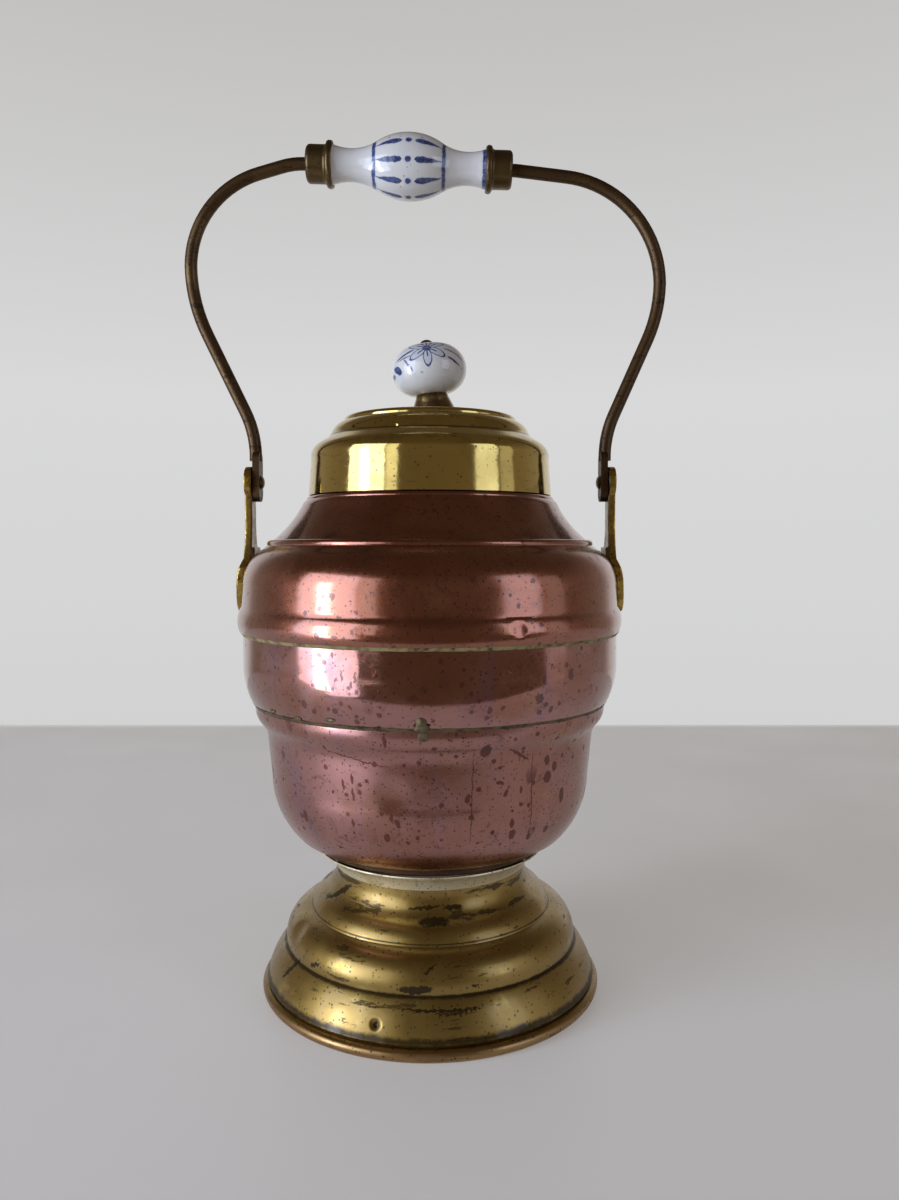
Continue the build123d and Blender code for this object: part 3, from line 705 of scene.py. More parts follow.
class Finish:
    """A material and the nodes added to it."""

    def __init__(self, name, **constants):
        self.material = bpy.data.materials.new(name)
        self.material.use_nodes = True
        self.tree = self.material.node_tree
        self.shader = self.tree.nodes["Principled BSDF"]
        for socket, value in constants.items():
            self.shader.inputs[socket_name(socket)].default_value = value
        place = self.node("ShaderNodeTexCoord").outputs["Object"]
        self.place = self.vector("SCALE", place, scale=1 / mm)
        self.axes = self.node("ShaderNodeSeparateXYZ", {0: self.place}).outputs

    def node(self, kind, inputs=None, **settings):
        node = self.tree.nodes.new(kind)
        for setting, value in settings.items():
            setattr(node, setting, value)
        for socket, value in (inputs or {}).items():
            if isinstance(value, bpy.types.NodeSocket):
                self.tree.links.new(value, node.inputs[socket])
            else:
                node.inputs[socket].default_value = value
        return node

    def math(self, operation, first, second=0.0, clamp=False):
        node = self.node("ShaderNodeMath", {0: first, 1: second}, operation=operation)
        node.use_clamp = clamp
        return node.outputs[0]

    def times(self, first, second):
        return self.math("MULTIPLY", first, second)

    def plus(self, first, second, clamp=False):
        return self.math("ADD", first, second, clamp)

    def minus(self, first, second):
        return self.math("SUBTRACT", first, second)

    def most(self, first, second):
        return self.math("MAXIMUM", first, second)

    def least(self, first, second):
        return self.math("MINIMUM", first, second)

    def vector(self, operation, first, second=None, scale=None):
        inputs = {0: first}
        if second is not None:
            inputs[1] = second
        if scale is not None:
            inputs["Scale"] = scale
        node = self.node("ShaderNodeVectorMath", inputs, operation=operation)
        return node.outputs["Value" if operation in ("LENGTH", "DISTANCE") else "Vector"]

    def noise(self, size, detail=3.0, rough=0.5, place=None, stretch=None, warp=0.0):
        """Cloudy value near 0.5, with patches about this size."""
        at = place or self.place
        if stretch:
            at = self.vector("MULTIPLY", at, stretch)
        inputs = {"Vector": at, "Scale": 1 / size, "Detail": detail, "Roughness": rough, "Distortion": warp}
        return self.node("ShaderNodeTexNoise", inputs).outputs[0]

    def cells(self, size, place=None, stretch=None):
        """Distance to the nearest of scattered points, in cells, and a value for each cell."""
        at = place or self.place
        if stretch:
            at = self.vector("MULTIPLY", at, stretch)
        cells = self.node("ShaderNodeTexVoronoi", {"Vector": at, "Scale": 1 / size})
        each = self.node("ShaderNodeSeparateColor", {0: cells.outputs["Color"]}).outputs[0]
        return cells.outputs["Distance"], each

    def step(self, value, low, high, start=0.0, end=1.0):
        """Smooth rise from start to end as a value goes from low to high."""
        inputs = {"Value": value, "From Min": low, "From Max": high, "To Min": start, "To Max": end}
        return self.node("ShaderNodeMapRange", inputs, interpolation_type="SMOOTHSTEP").outputs[0]

    def mix(self, factor, first, second, blend="MIX"):
        inputs = {0: factor, 6: first, 7: second}
        return self.node("ShaderNodeMix", inputs, data_type="RGBA", blend_type=blend).outputs[2]

    def ramp(self, value, stops):
        """Grey ramp of a value: pairs of position and level."""
        node = self.node("ShaderNodeValToRGB", {0: value})
        while len(node.color_ramp.elements) < len(stops):
            node.color_ramp.elements.new(0.5)
        for element, (position, level) in zip(node.color_ramp.elements, stops):
            element.position = position
            element.color = (level, level, level, 1)
        return node.outputs[0]

    def spots(self, size, share, edge=0.06, stretch=None, warp=1.0):
        """Round spots of uneven size: one in each cell whose own value is high enough."""
        shaky = self.noise(size * 0.35, 2.0)
        push = self.times(self.minus(shaky, 0.5), 0.28 * warp)
        distance, each = self.cells(size, stretch=stretch)
        reach = self.step(each, 1 - share, 1.0, 0.0, 0.42)
        gap = self.minus(self.plus(distance, push), reach)
        return self.step(gap, -edge, edge, 1.0, 0.0)

    def unroll(self):
        """Place on the unrolled pot: millimetres round from the front, and height."""
        back = self.times(self.axes["Y"], -1.0)
        bearing = self.math("ARCTAN2", self.axes["X"], back)
        across = self.times(bearing, unroll_radius)
        return self.node("ShaderNodeCombineXYZ", {0: across, 1: self.axes["Z"]}).outputs[0]

    def ovals(self, flat, marks):
        """Distance to the nearest of some ovals, where 1 is an oval's edge."""
        nearest = None
        for middle, halves, turn in marks:
            inputs = {
                "Vector": flat,
                "Location": (*middle, 0),
                "Rotation": (0, 0, turn),
                "Scale": (*halves, 1),
            }
            inside = self.node("ShaderNodeMapping", inputs, vector_type="TEXTURE").outputs[0]
            distance = self.vector("LENGTH", inside)
            nearest = distance if nearest is None else self.least(nearest, distance)
        return nearest

    def shaken(self, flat, size, amount):
        """A flat place moved a little by noise, so that marks drawn on it have uneven edges."""
        inputs = {"Vector": self.place, "Scale": 1 / size, "Detail": 2.0}
        cloud = self.node("ShaderNodeTexNoise", inputs).outputs["Color"]
        push = self.vector("SCALE", self.vector("SUBTRACT", cloud, (0.5, 0.5, 0.5)), scale=amount)
        return self.vector("ADD", flat, push)

    def relief(self, height, depth, under=None):
        """Bump whose full height is a depth in millimetres."""
        inputs = {"Height": height, "Distance": depth * mm, "Strength": 1.0}
        if under is not None:
            inputs["Normal"] = under
        return self.node("ShaderNodeBump", inputs).outputs[0]

    def set(self, **sockets):
        for socket, value in sockets.items():
            self.tree.links.new(value, self.shader.inputs[socket_name(socket)])
        return self.material


# %% [markdown]
# Old copper grows a skin of oxide: brown where it is thick, rose and violet where it is so
# thin that it shows colours. Drops of acid or water ate darker, duller spots into it, often
# drawn out as they ran down. The shoulder is brown, and the body below is rosy, so one
# function makes all three sheets, and each gets its own colours and its own seen spots.


# %% Aged copper
def aged_copper(name, ground, rosy, violet, marks, rough, spot_share, speck_share, skin_gloss, low_band=None):
    """Copper sheet with a cloudy oxide skin, ran spots and fine specks."""
    finish = Finish(name, Metallic=1.0, Coat_Weight=skin_gloss, Coat_Ior=1.8, Coat_Roughness=0.12)
    cloud = finish.noise(34, 4.0, 0.55, warp=0.6)
    streak = finish.noise(16, 4.0, 0.6, stretch=(1, 1, 0.22))
    colour = finish.mix(finish.step(cloud, 0.36, 0.64), ground, rosy)
    colour = finish.mix(finish.step(streak, 0.52, 0.74, 0, 0.7), colour, violet)
    gold = finish.step(finish.noise(26, 3.0, 0.5, stretch=(1, 1, 1.6)), 0.60, 0.74, 0, 0.45)
    colour = finish.mix(gold, colour, paint(176, 132, 84))
    stain = finish.step(finish.noise(7, 5.0, 0.65, warp=1.2), 0.56, 0.70, 0, 0.5)
    colour = finish.mix(stain, colour, paint(92, 52, 42))
    fine = finish.noise(1.1, 3.0, 0.7)
    colour = finish.mix(finish.step(fine, 0.58, 0.75, 0, 0.35), colour, paint(70, 40, 34))

    flat = finish.shaken(finish.unroll(), 2.2, 2.0)
    seen = finish.step(finish.ovals(flat, marks), 0.82, 1.08, 1.0, 0.0)
    front = finish.step(finish.axes["Y"], -6, 0, 1.0, 0.0)
    seen = finish.times(seen, front)
    where = finish.step(finish.noise(46, 2.0), 0.42, 0.62)
    ran = finish.times(finish.spots(7.5, spot_share, stretch=(1, 1, 0.62)), where)
    small = finish.spots(3.1, spot_share * 0.9, edge=0.08)
    speck = finish.spots(1.15, speck_share, edge=0.12)
    spot = finish.most(finish.most(seen, ran), small)
    spot_colour = finish.mix(finish.noise(2.6, 3.0), paint(116, 54, 36), paint(78, 34, 24))
    colour = finish.mix(finish.times(spot, 0.92), colour, spot_colour)
    colour = finish.mix(finish.times(speck, 0.8), colour, paint(74, 38, 28))
    if low_band:
        edge = finish.plus(finish.axes["Z"], finish.times(finish.noise(9, 3.0), 5.0))
        bare = finish.step(edge, low_band + 2.2, low_band + 3.2, 1.0, 0.0)
        colour = finish.mix(finish.times(bare, 0.9), colour, paint(140, 74, 50))

    dull = finish.step(cloud, 0.3, 0.7, rough[0], rough[1])
    dull = finish.plus(dull, finish.times(spot, 0.22))
    dull = finish.plus(dull, finish.step(fine, 0.5, 0.8, 0, 0.12))
    metal = finish.minus(1.0, finish.times(spot, 0.10))
    turned = finish.noise(1.0, 2.0, 0.6, stretch=(0.02, 0.02, 2.2))
    skin = finish.relief(turned, 0.006)
    skin = finish.relief(finish.noise(5.5, 2.0), 0.035, skin)
    skin = finish.relief(finish.minus(1.0, spot), 0.02, skin)
    return finish.set(Base_Color=colour, Roughness=dull, Metallic=metal, Normal=skin)


shoulder_copper = aged_copper(
    "shoulder_copper",
    ground=paint(150, 86, 60),
    rosy=paint(160, 98, 76),
    violet=paint(138, 88, 82),
    marks=shoulder_spots,
    rough=(0.17, 0.26),
    spot_share=0.20,
    speck_share=0.35,
    skin_gloss=0.7,
)
belly_copper = aged_copper(
    "belly_copper",
    ground=paint(152, 92, 70),
    rosy=paint(170, 118, 110),
    violet=paint(150, 108, 128),
    marks=belly_spots,
    rough=(0.07, 0.15),
    spot_share=0.30,
    speck_share=0.30,
    skin_gloss=0.7,
)
bowl_copper = aged_copper(
    "bowl_copper",
    ground=paint(158, 108, 94),
    rosy=paint(172, 122, 114),
    violet=paint(150, 112, 124),
    marks=bowl_spots,
    rough=(0.22, 0.30),
    spot_share=0.24,
    speck_share=0.34,
    skin_gloss=0.35,
    low_band=74.0,
)
print("copper finishes:", shoulder_copper.name, belly_copper.name, bowl_copper.name)

# %% [markdown]
# Nobody polished the inside: there the copper is dark brown, dull and sooty.

# %% Inside copper
inside_finish = Finish("inside_copper", Metallic=0.85)
inside_cloud = inside_finish.noise(18, 5.0, 0.6, warp=0.8)
inside_colour = inside_finish.mix(
    inside_finish.step(inside_cloud, 0.38, 0.62), paint(70, 48, 40), paint(112, 76, 60)
)
inside_soot = inside_finish.step(inside_finish.noise(5, 4.0, 0.6), 0.52, 0.68, 0, 0.8)
inside_copper = inside_finish.set(
    Base_Color=inside_finish.mix(inside_soot, inside_colour, paint(44, 36, 33)),
    Roughness=inside_finish.step(inside_cloud, 0.3, 0.7, 0.42, 0.62),
    Normal=inside_finish.relief(inside_finish.noise(1.4, 4.0), 0.05),
)
print("inside finish:", inside_copper.name)

# %% [markdown]
# Brass goes the other way: it stays yellow where hands and cloths reach, and turns olive,
# then brown, in the grooves. The function takes the clean and the dull colour, the heights
# of the grooves that hold grime, and listed marks; on the foot one groove line and several
# marks are painted shade and painted dark reflection.


# %% Tarnished brass
def tarnished_brass(
    name,
    clean,
    dull_colour,
    grime_and_shade,
    rough,
    tarnish,
    grooves=(),
    marks=(),
    speck=0.3,
    gloss=0.5,
    metal=1.0,
    rim_height=-10.0,
):
    """Brass with cloudy tarnish, turning lines, grime in grooves, listed dark marks and fine dark specks; on
    the foot some groove lines and marks are painted shade instead.
    """
    finish = Finish(name, Metallic=metal, Coat_Weight=gloss, Coat_Ior=1.7, Coat_Roughness=0.12)
    cloud = finish.noise(22, 5.0, 0.6, warp=0.5)
    colour = finish.mix(finish.step(cloud, 0.62 - tarnish * 0.4, 0.80 - tarnish * 0.4), clean, dull_colour)
    drawn = finish.noise(9, 4.0, 0.65, stretch=(0.35, 0.35, 1.8))
    patch = finish.step(drawn, 0.59, 0.63, 0, 0.8 * tarnish)
    colour = finish.mix(patch, colour, grime_and_shade)
    low = finish.step(finish.axes["Z"], rim_height, rim_height + 0.8, 0.7, 0.0)
    colour = finish.mix(low, colour, paint(150, 116, 78))
    held = patch
    # Each groove line takes the dark colour: grime in the grooves, and on the foot's swell step a painted
    # shade line.
    for height, half_width in grooves:
        away = finish.math("ABSOLUTE", finish.minus(finish.axes["Z"], height))
        uneven = finish.times(finish.noise(6, 4.0, 0.7), 1.6 * half_width)
        line = finish.step(finish.plus(away, uneven), half_width, 2.0 * half_width, 0.9, 0.0)
        colour = finish.mix(line, colour, grime_and_shade)
        held = finish.most(held, line)
    # Listed marks take the dark colour too; on the foot several are painted shade and painted dark
    # reflection.
    if marks:
        flat = finish.shaken(finish.unroll(), 1.6, 3.0)
        seen = finish.step(finish.ovals(flat, marks), 0.85, 1.1, 0.95, 0.0)
        front = finish.step(finish.axes["Y"], -6, 0, 1.0, 0.0)
        seen = finish.times(seen, front)
        colour = finish.mix(seen, colour, grime_and_shade)
        held = finish.most(held, seen)
    specks = finish.spots(1.3, speck, edge=0.14)
    colour = finish.mix(finish.times(specks, 0.7), colour, grime_and_shade)
    fine = finish.noise(0.8, 3.0, 0.7)
    colour = finish.mix(finish.step(fine, 0.6, 0.8, 0, 0.3), colour, grime_and_shade)
    dull = finish.step(cloud, 0.3, 0.7, rough[0], rough[1])
    dull = finish.plus(dull, finish.times(held, 0.25))
    dull = finish.plus(dull, finish.times(specks, 0.15))
    turned = finish.noise(1.0, 2.0, 0.6, stretch=(0.02, 0.02, 2.5))
    skin = finish.relief(turned, 0.008)
    skin = finish.relief(finish.noise(3.2, 3.0), 0.03, skin)
    skin = finish.relief(finish.minus(1.0, held), 0.015, skin)
    return finish.set(Base_Color=colour, Roughness=dull, Normal=skin)


# Heights of the foot's dark lines: at the swell's step a painted shade line under its overhang, at the skirt
# and rim creases grime, and the rim's top.
swell_step_shade, skirt_crease, rim_crease, rim_top = 40.6, 23.4, 8.2, 4.4
foot_brass = tarnished_brass(
    "foot_brass",
    clean=paint(190, 164, 92),
    dull_colour=paint(150, 124, 66),
    # Dark colour for grime, and for the painted shade and painted dark reflection on the foot.
    grime_and_shade=paint(50, 36, 16),
    rough=(0.30, 0.42),
    tarnish=0.95,
    grooves=((skirt_crease, 1.0), (rim_crease, 2.3), (swell_step_shade, 0.4)),
    marks=foot_marks_and_shade,
    gloss=0.25,
    rim_height=rim_top,
)
collar_brass = tarnished_brass(
    "collar_brass",
    clean=paint(240, 228, 190),
    dull_colour=paint(214, 198, 150),
    grime_and_shade=paint(110, 92, 58),
    rough=(0.40, 0.52),
    tarnish=0.4,
    speck=0.5,
    metal=0.5,
)
lid_low, lid_high = (corner.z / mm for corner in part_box("lid"))
lid_brass = tarnished_brass(
    "lid_brass",
    clean=paint(204, 180, 100),
    dull_colour=paint(186, 162, 84),
    grime_and_shade=paint(78, 62, 30),
    rough=(0.06, 0.12),
    tarnish=0.35,
    grooves=((lid_high - 2.6, 0.35), (lid_high - 9.6, 0.4)),
    speck=0.16,
)
cone_brass = tarnished_brass(
    "cone_brass",
    clean=paint(150, 122, 68),
    dull_colour=paint(112, 88, 48),
    grime_and_shade=paint(58, 42, 26),
    rough=(0.26, 0.4),
    tarnish=0.7,
)
ferrule_brass = tarnished_brass(
    "ferrule_brass",
    clean=paint(122, 102, 64),
    dull_colour=paint(96, 78, 48),
    grime_and_shade=paint(52, 40, 26),
    rough=(0.38, 0.5),
    tarnish=0.7,
    gloss=0.2,
)
rod_brass = tarnished_brass(
    "rod_brass",
    clean=paint(102, 82, 54),
    dull_colour=paint(84, 64, 42),
    grime_and_shade=paint(52, 40, 28),
    rough=(0.46, 0.58),
    tarnish=0.7,
    speck=0.4,
    gloss=0.1,
)
rivet_brass = tarnished_brass(
    "rivet_brass",
    clean=paint(120, 100, 66),
    dull_colour=paint(84, 66, 44),
    grime_and_shade=paint(46, 36, 28),
    rough=(0.32, 0.46),
    tarnish=0.8,
)
print("brass finishes made, lid from", round(lid_low, 1), "to", round(lid_high, 1), "mm")

# %% [markdown]
# The ears were cast in sand and only filed at their edges, so their brass is grainy and
# pitted. Their inner sides, which no cloth reaches, are grey.

# %% Cast brass of the ears
ear_finish = Finish("ear_brass", Metallic=1.0)
ear_cloud = ear_finish.noise(7, 4.0, 0.6)
ear_colour = ear_finish.mix(ear_finish.step(ear_cloud, 0.4, 0.62), paint(190, 160, 82), paint(150, 122, 62))
ear_pits = ear_finish.spots(1.6, 0.45, edge=0.12)
ear_grime = ear_finish.step(ear_finish.noise(2.2, 4.0, 0.7), 0.54, 0.68, 0, 0.7)
ear_colour = ear_finish.mix(ear_grime, ear_colour, paint(84, 68, 40))
ear_side, ear_side_end = 86.6, 87.4
inner_face = ear_finish.math("ABSOLUTE", ear_finish.axes["X"])
inner_face = ear_finish.step(inner_face, ear_side, ear_side_end, 1.0, 0.0)
ear_colour = ear_finish.mix(ear_finish.times(inner_face, 0.8), ear_colour, paint(112, 102, 88))
ear_skin = ear_finish.relief(ear_finish.noise(0.9, 4.0), 0.06)
ear_brass = ear_finish.set(
    Base_Color=ear_finish.mix(ear_finish.times(ear_pits, 0.6), ear_colour, paint(70, 54, 34)),
    Roughness=ear_finish.step(ear_cloud, 0.3, 0.7, 0.24, 0.40),
    Normal=ear_skin,
)
print("ear finish:", ear_brass.name, "grey within", ear_side, "mm of the middle")

# %% [markdown]
# Solder dulls to a pale olive and gets a green bloom where it stayed wet. The upper seam was
# rubbed bright, and the lower one kept its brown, so one function makes both.


# %% Solder and its verdigris
def seam_solder(name, pale, brown, green):
    """Set solder: pale where it was rubbed, brown in its hollows, with a green bloom."""
    finish = Finish(name, Metallic=0.35)
    fine = finish.noise(1.6, 4.0, 0.7)
    colour = finish.mix(finish.step(finish.noise(6, 4.0, 0.65), 0.42, 0.60), pale, brown)
    colour = finish.mix(finish.step(fine, 0.54, 0.66, 0, 0.6), colour, green)
    hollow = finish.step(finish.noise(3.0, 3.0), 0.58, 0.68, 0, 0.8)
    return finish.set(
        Base_Color=finish.mix(hollow, colour, paint(60, 46, 32)),
        Roughness=finish.step(fine, 0.3, 0.7, 0.38, 0.7),
        Normal=finish.relief(fine, 0.12),
    )


upper_finish = seam_solder(
    "upper_old_solder", pale=paint(168, 158, 108), brown=paint(128, 112, 70), green=paint(160, 156, 116)
)
lower_finish = seam_solder(
    "lower_old_solder", pale=paint(112, 96, 66), brown=paint(78, 58, 42), green=paint(116, 116, 86)
)
print("solder finishes:", upper_finish.name, lower_finish.name)

# %% [markdown]
# The knob's screw, its nut and washer, and the wire in the rim are iron, browned by rust.

# %% Iron of the screw, washer, nut and wire
iron_finish = Finish("dark_iron", Metallic=0.8)
iron_cloud = iron_finish.noise(2.4, 4.0, 0.65)
dark_iron = iron_finish.set(
    Base_Color=iron_finish.mix(
        iron_finish.step(iron_cloud, 0.4, 0.62), paint(72, 58, 48), paint(104, 82, 62)
    ),
    Roughness=iron_finish.step(iron_cloud, 0.3, 0.7, 0.34, 0.55),
    Normal=iron_finish.relief(iron_finish.noise(0.7, 3.0), 0.04),
)
print("iron finish:", dark_iron.name)

# %% [markdown]
# The grip is white porcelain painted with cobalt by a quick brush: two rings, and between
# them rows of paired strokes that taper away from a dot. Both the ring and the strokes are
# told in the grip's own cylinder: how far along its axis, and how far round.

# %% Porcelain and its glaze
cobalt_dark = paint(28, 40, 92)
cobalt_light = paint(74, 96, 160)
porcelain_white = paint(233, 233, 231)


def porcelain(name):
    """The glazed white ground, a little uneven."""
    return Finish(name, Coat_Weight=0.6, Coat_Roughness=0.03)


def glaze(finish, painted, halo, ground):
    """Finishes a piece of porcelain: cobalt where it is painted, with a soft bleeding edge."""
    thin = finish.step(finish.noise(1.2, 3.0), 0.42, 0.66)
    blue = finish.mix(thin, cobalt_dark, cobalt_light)
    colour = finish.mix(finish.times(halo, 0.30), ground, paint(150, 172, 214))
    colour = finish.mix(finish.times(painted, 0.96), colour, blue)
    waver = finish.relief(finish.noise(7, 2.0), 0.05)
    gloss = finish.step(finish.noise(5, 3.0), 0.3, 0.7, 0.05, 0.11)
    return finish.set(Base_Color=colour, Roughness=gloss, Normal=waver)


def crazed_ground(finish):
    """White glaze with faint grey clouds and a few brown pinholes."""
    grey_cloud = finish.step(finish.noise(14, 3.0), 0.45, 0.75, 0, 0.5)
    ground = finish.mix(grey_cloud, porcelain_white, paint(214, 215, 216))
    pinholes = finish.spots(1.7, 0.10, edge=0.05, warp=0.4)
    return finish.mix(finish.times(pinholes, 0.5), ground, paint(140, 110, 88))


# %% [markdown]
# The fraction of a turn gives the row, and a ramp along the grip gives each stroke its width:
# thin at the dot, soon full, then tapering away. A little noise first shakes the whole place,
# as a quick hand would.

# %% Paint on the grip
stroke_rows = 10
row_phase = 0.236
stroke_start, stroke_end = 2.9, 15.8
stroke_half_width = 1.55
ring_at, ring_half_width = 16.5, 0.85
dot_radius = 1.4
end_band_from = 34.9

grip_finish = porcelain("grip_porcelain")
grip_local = grip_finish.node(
    "ShaderNodeMapping",
    {
        "Vector": grip_finish.place,
        "Location": grip_middle / mm,
        "Rotation": (0, -atan2(grip_direction.z, grip_direction.x), 0),
    },
    vector_type="TEXTURE",
).outputs[0]
grip_shaken = grip_finish.shaken(grip_local, 3.0, 1.1)
grip_axes = grip_finish.node("ShaderNodeSeparateXYZ", {0: grip_shaken}).outputs
along = grip_finish.math("ABSOLUTE", grip_axes["X"])
around_grip = grip_finish.math("ARCTAN2", grip_axes["Y"], grip_axes["Z"])
radius_there = grip_finish.vector("LENGTH", grip_finish.vector("MULTIPLY", grip_shaken, (0, 1, 1)))
row_place = grip_finish.times(around_grip, stroke_rows / (2 * pi))
row_place = grip_finish.plus(row_place, row_phase)
row_offset = grip_finish.minus(grip_finish.math("FRACT", row_place), 0.5)
row_arc = grip_finish.times(row_offset, 2 * pi / stroke_rows)
off_row = grip_finish.math("ABSOLUTE", grip_finish.times(row_arc, radius_there))
share_along = grip_finish.node(
    "ShaderNodeMapRange", {"Value": along, "From Min": stroke_start, "From Max": stroke_end}
).outputs[0]
stroke_width = grip_finish.ramp(
    share_along, [(0.0, 0.1), (0.08, 0.72), (0.28, 1.0), (0.6, 0.68), (0.85, 0.28), (1.0, 0.1)]
)
stroke_width = grip_finish.times(stroke_width, stroke_half_width)
stroke_gap = grip_finish.minus(off_row, stroke_width)
in_stroke = grip_finish.times(share_along, grip_finish.minus(1.0, share_along))
in_stroke = grip_finish.step(in_stroke, 0.0, 0.006)
dot_gap = grip_finish.minus(
    grip_finish.vector("LENGTH", grip_finish.node("ShaderNodeCombineXYZ", {0: along, 1: off_row}).outputs[0]),
    dot_radius,
)
ring_gap = grip_finish.minus(
    grip_finish.math("ABSOLUTE", grip_finish.minus(along, ring_at)),
    ring_half_width,
)
end_gap = grip_finish.minus(end_band_from, grip_axes["X"])
strokes = grip_finish.times(grip_finish.step(stroke_gap, -0.16, 0.1, 1, 0), in_stroke)
others = grip_finish.least(grip_finish.least(dot_gap, ring_gap), end_gap)
grip_paint = grip_finish.most(strokes, grip_finish.step(others, -0.16, 0.1, 1, 0))
grip_halo = grip_finish.most(
    grip_finish.times(grip_finish.step(stroke_gap, -0.2, 0.9, 1, 0), in_stroke),
    grip_finish.step(others, -0.2, 1.1, 1, 0),
)
grip_porcelain = glaze(grip_finish, grip_paint, grip_halo, crazed_ground(grip_finish))

# %% [markdown]
# The knob has a traditional sprig: one open flower near the top, with strokes for leaves
# beside it. It is drawn on a plane that is tilted towards the viewer, with its petals told
# by their bearing round the flower's middle.

# %% Paint on the knob
knob_lean = radians(6.2)
flower_tilt = radians(63)
petals = 6
petal_middle, petal_half_length, petal_half_width = 5.3, 4.3, 2.15
leaf_strokes = [
    ((-10.4, -0.2), (4.6, 0.65), radians(8)),
    ((-10.9, -2.2), (3.2, 0.30), radians(-4)),
    ((-9.4, -6.4), (4.2, 0.42), radians(-60)),
    ((-14.7, -5.4), (3.2, 0.95), radians(-60)),
    ((-17.0, -5.0), (1.4, 0.40), radians(-65)),
    ((11.9, -5.4), (2.8, 0.55), radians(-18)),
    ((10.9, -0.8), (3.2, 0.36), radians(-8)),
    ((13.8, -1.5), (2.8, 0.32), radians(-20)),
]

knob_low, knob_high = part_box("knob")
knob_middle = (knob_low + knob_high) / 2
knob_turn = Euler((flower_tilt, -knob_lean, 0))
knob_finish = porcelain("knob_porcelain")
knob_local = knob_finish.node(
    "ShaderNodeMapping",
    {"Vector": knob_finish.place, "Location": knob_middle / mm, "Rotation": knob_turn},
    vector_type="TEXTURE",
).outputs[0]
knob_flat = knob_finish.shaken(knob_local, 2.4, 0.8)
knob_flat = knob_finish.vector("MULTIPLY", knob_flat, (1, 1, 0))
knob_axes = knob_finish.node("ShaderNodeSeparateXYZ", {0: knob_flat}).outputs
knob_up = knob_finish.node("ShaderNodeSeparateXYZ", {0: knob_local}).outputs["Z"]
flower_distance = knob_finish.vector("LENGTH", knob_flat)
flower_bearing = knob_finish.math("ARCTAN2", knob_axes["X"], knob_axes["Y"])
petal_place = knob_finish.times(flower_bearing, petals / (2 * pi))
petal_offset = knob_finish.minus(knob_finish.math("FRACT", knob_finish.plus(petal_place, 0.5)), 0.5)
petal_across = knob_finish.times(knob_finish.times(petal_offset, 2 * pi / petals), flower_distance)
petal_point = knob_finish.node(
    "ShaderNodeCombineXYZ",
    {
        0: knob_finish.math("DIVIDE", knob_finish.minus(flower_distance, petal_middle), petal_half_length),
        1: knob_finish.math("DIVIDE", petal_across, petal_half_width),
    },
).outputs[0]
petal_reach = knob_finish.vector("LENGTH", petal_point)
petal_line = knob_finish.math("ABSOLUTE", knob_finish.minus(petal_reach, 0.92))
petal_drawn = knob_finish.step(petal_line, 0.06, 0.13, 1, 0)
petal_vein = knob_finish.times(
    knob_finish.step(knob_finish.math("ABSOLUTE", petal_across), 0.22, 0.42, 1, 0),
    knob_finish.step(flower_distance, 4.6, 5.6, 1, 0),
)
flower_eye = knob_finish.step(flower_distance, 0.8, 1.3, 1, 0)
leaves = knob_finish.step(knob_finish.ovals(knob_flat, leaf_strokes), 0.85, 1.1, 1, 0)
knob_paint = knob_finish.most(petal_drawn, petal_vein)
knob_paint = knob_finish.most(knob_finish.most(knob_paint, flower_eye), leaves)
above = knob_finish.step(knob_up, 0.5, 2.5)
knob_paint = knob_finish.times(knob_paint, above)
petal_fill = knob_finish.times(knob_finish.step(petal_reach, 0.9, 1.25, 1, 0), above)
leaf_halo = knob_finish.step(knob_finish.ovals(knob_flat, leaf_strokes), 0.9, 2.2, 0.7, 0)
knob_halo = knob_finish.most(petal_fill, knob_finish.times(leaf_halo, above))
knob_porcelain = glaze(knob_finish, knob_paint, knob_halo, crazed_ground(knob_finish))
print("porcelain painted:", stroke_rows, "rows of strokes,", petals, "petals,", len(leaf_strokes), "leaves")

# %% [markdown]
# The table is painted wood with a satin coat. A little light of its own, seen by the camera
# and in reflections alone, keeps it as pale as the photograph's without lighting the pot.

# %% Table surface
table_finish = Finish("table_satin")
table_cloud = table_finish.noise(260, 3.0)
table_colour = table_finish.mix(table_cloud, paint(224, 223, 222), paint(229, 228, 226))
table_edge = table_finish.step(table_finish.axes["Y"], 1000 * table_back - 12, 1000 * table_back - 9)
table_colour = table_finish.mix(table_edge, table_colour, paint(250, 249, 248))
table_ray = table_finish.node("ShaderNodeLightPath").outputs
table_seen = table_finish.plus(table_ray["Is Camera Ray"], table_ray["Is Glossy Ray"])
table_seen = table_finish.plus(table_seen, table_ray["Is Transmission Ray"], clamp=True)
table_satin = table_finish.set(
    Base_Color=table_colour,
    Emission_Color=table_colour,
    Emission_Strength=table_finish.times(table_seen, 0.25),
    Roughness=table_finish.step(table_finish.noise(90, 3.0), 0.3, 0.7, 0.42, 0.5),
)
table.data.materials.append(table_satin)

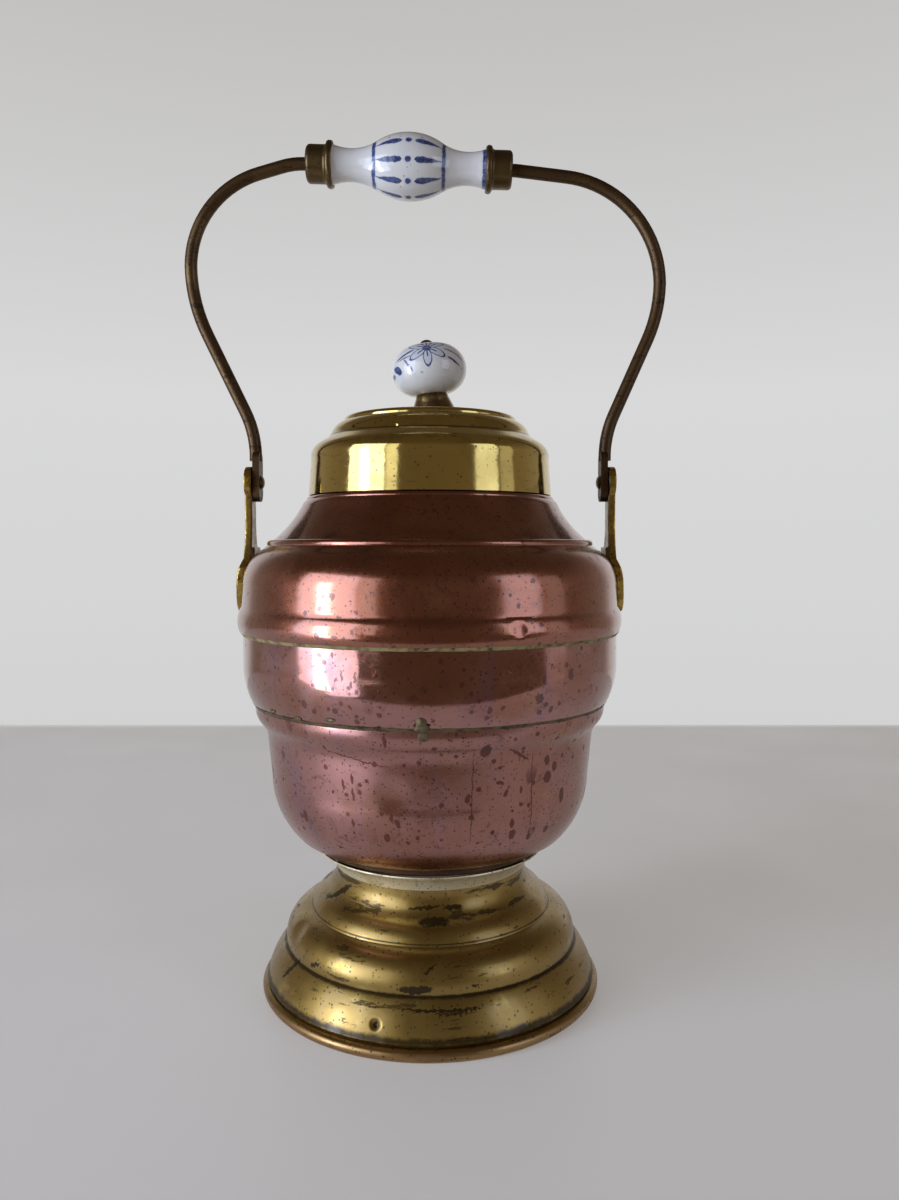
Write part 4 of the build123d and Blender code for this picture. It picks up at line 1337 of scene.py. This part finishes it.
# %% [markdown]
# Last, each piece gets its finish. A sheet has an outside and an inside: the faces that look
# at a point in the pot's heart are the inside, and take the dull inside finish.


# %% Give the finishes out
def finish_sheet(piece, outside, inside, heart):
    """Outside finish all over, inside finish where a face looks at the heart."""
    piece.data.materials.clear()
    piece.data.materials.append(outside)
    piece.data.materials.append(inside)
    count = 0
    for face in piece.data.polygons:
        looks_in = face.normal.dot(heart - face.center) > 0
        face.material_index = 1 if looks_in else 0
        count += looks_in
    print(piece.name, "inside faces:", count)


def finish_piece(piece, material):
    """One finish all over."""
    piece.data.materials.clear()
    piece.data.materials.append(material)


body_heart = Vector((0, 0, 0.14))
foot_heart = Vector((0, 0, 0.012))
lid_heart = Vector((0, 0, 0.235))
lid_inside = tarnished_brass(
    "lid_inside_brass",
    clean=paint(140, 112, 62),
    dull_colour=paint(104, 80, 44),
    grime_and_shade=paint(52, 40, 28),
    rough=(0.34, 0.5),
    tarnish=0.8,
)
finish_sheet(foot_sheet, foot_brass, lid_inside, foot_heart)
finish_sheet(bowl_sheet, bowl_copper, inside_copper, body_heart)
finish_sheet(belly_sheet, belly_copper, inside_copper, body_heart)
finish_sheet(shoulder_sheet, shoulder_copper, inside_copper, body_heart)
finish_sheet(lid_sheet, lid_brass, lid_inside, lid_heart)
finish_piece(upper_solder, upper_finish)
for piece in (lower_solder, solder_runs):
    finish_piece(piece, lower_finish)
for piece in (left_cast_ear, right_cast_ear):
    finish_piece(piece, ear_brass)
for piece in (left_cap, right_cap):
    finish_piece(piece, ferrule_brass)

node_finishes = {
    "foot_collar": collar_brass,
    "foot_rim_wire": dark_iron,
    "ear_rivets": rivet_brass,
    "pivot_rivets": rivet_brass,
    "bail_rod": rod_brass,
    "grip": grip_porcelain,
    "knob_base": cone_brass,
    "knob": knob_porcelain,
    "knob_screw": dark_iron,
    "knob_washer": dark_iron,
    "knob_nut": dark_iron,
}
for node, material in node_finishes.items():
    finish_piece(nodes[node], material)
bare = [name for name, node in nodes.items() if not node.hide_render and name not in node_finishes]
print("nodes without a finish:", bare)
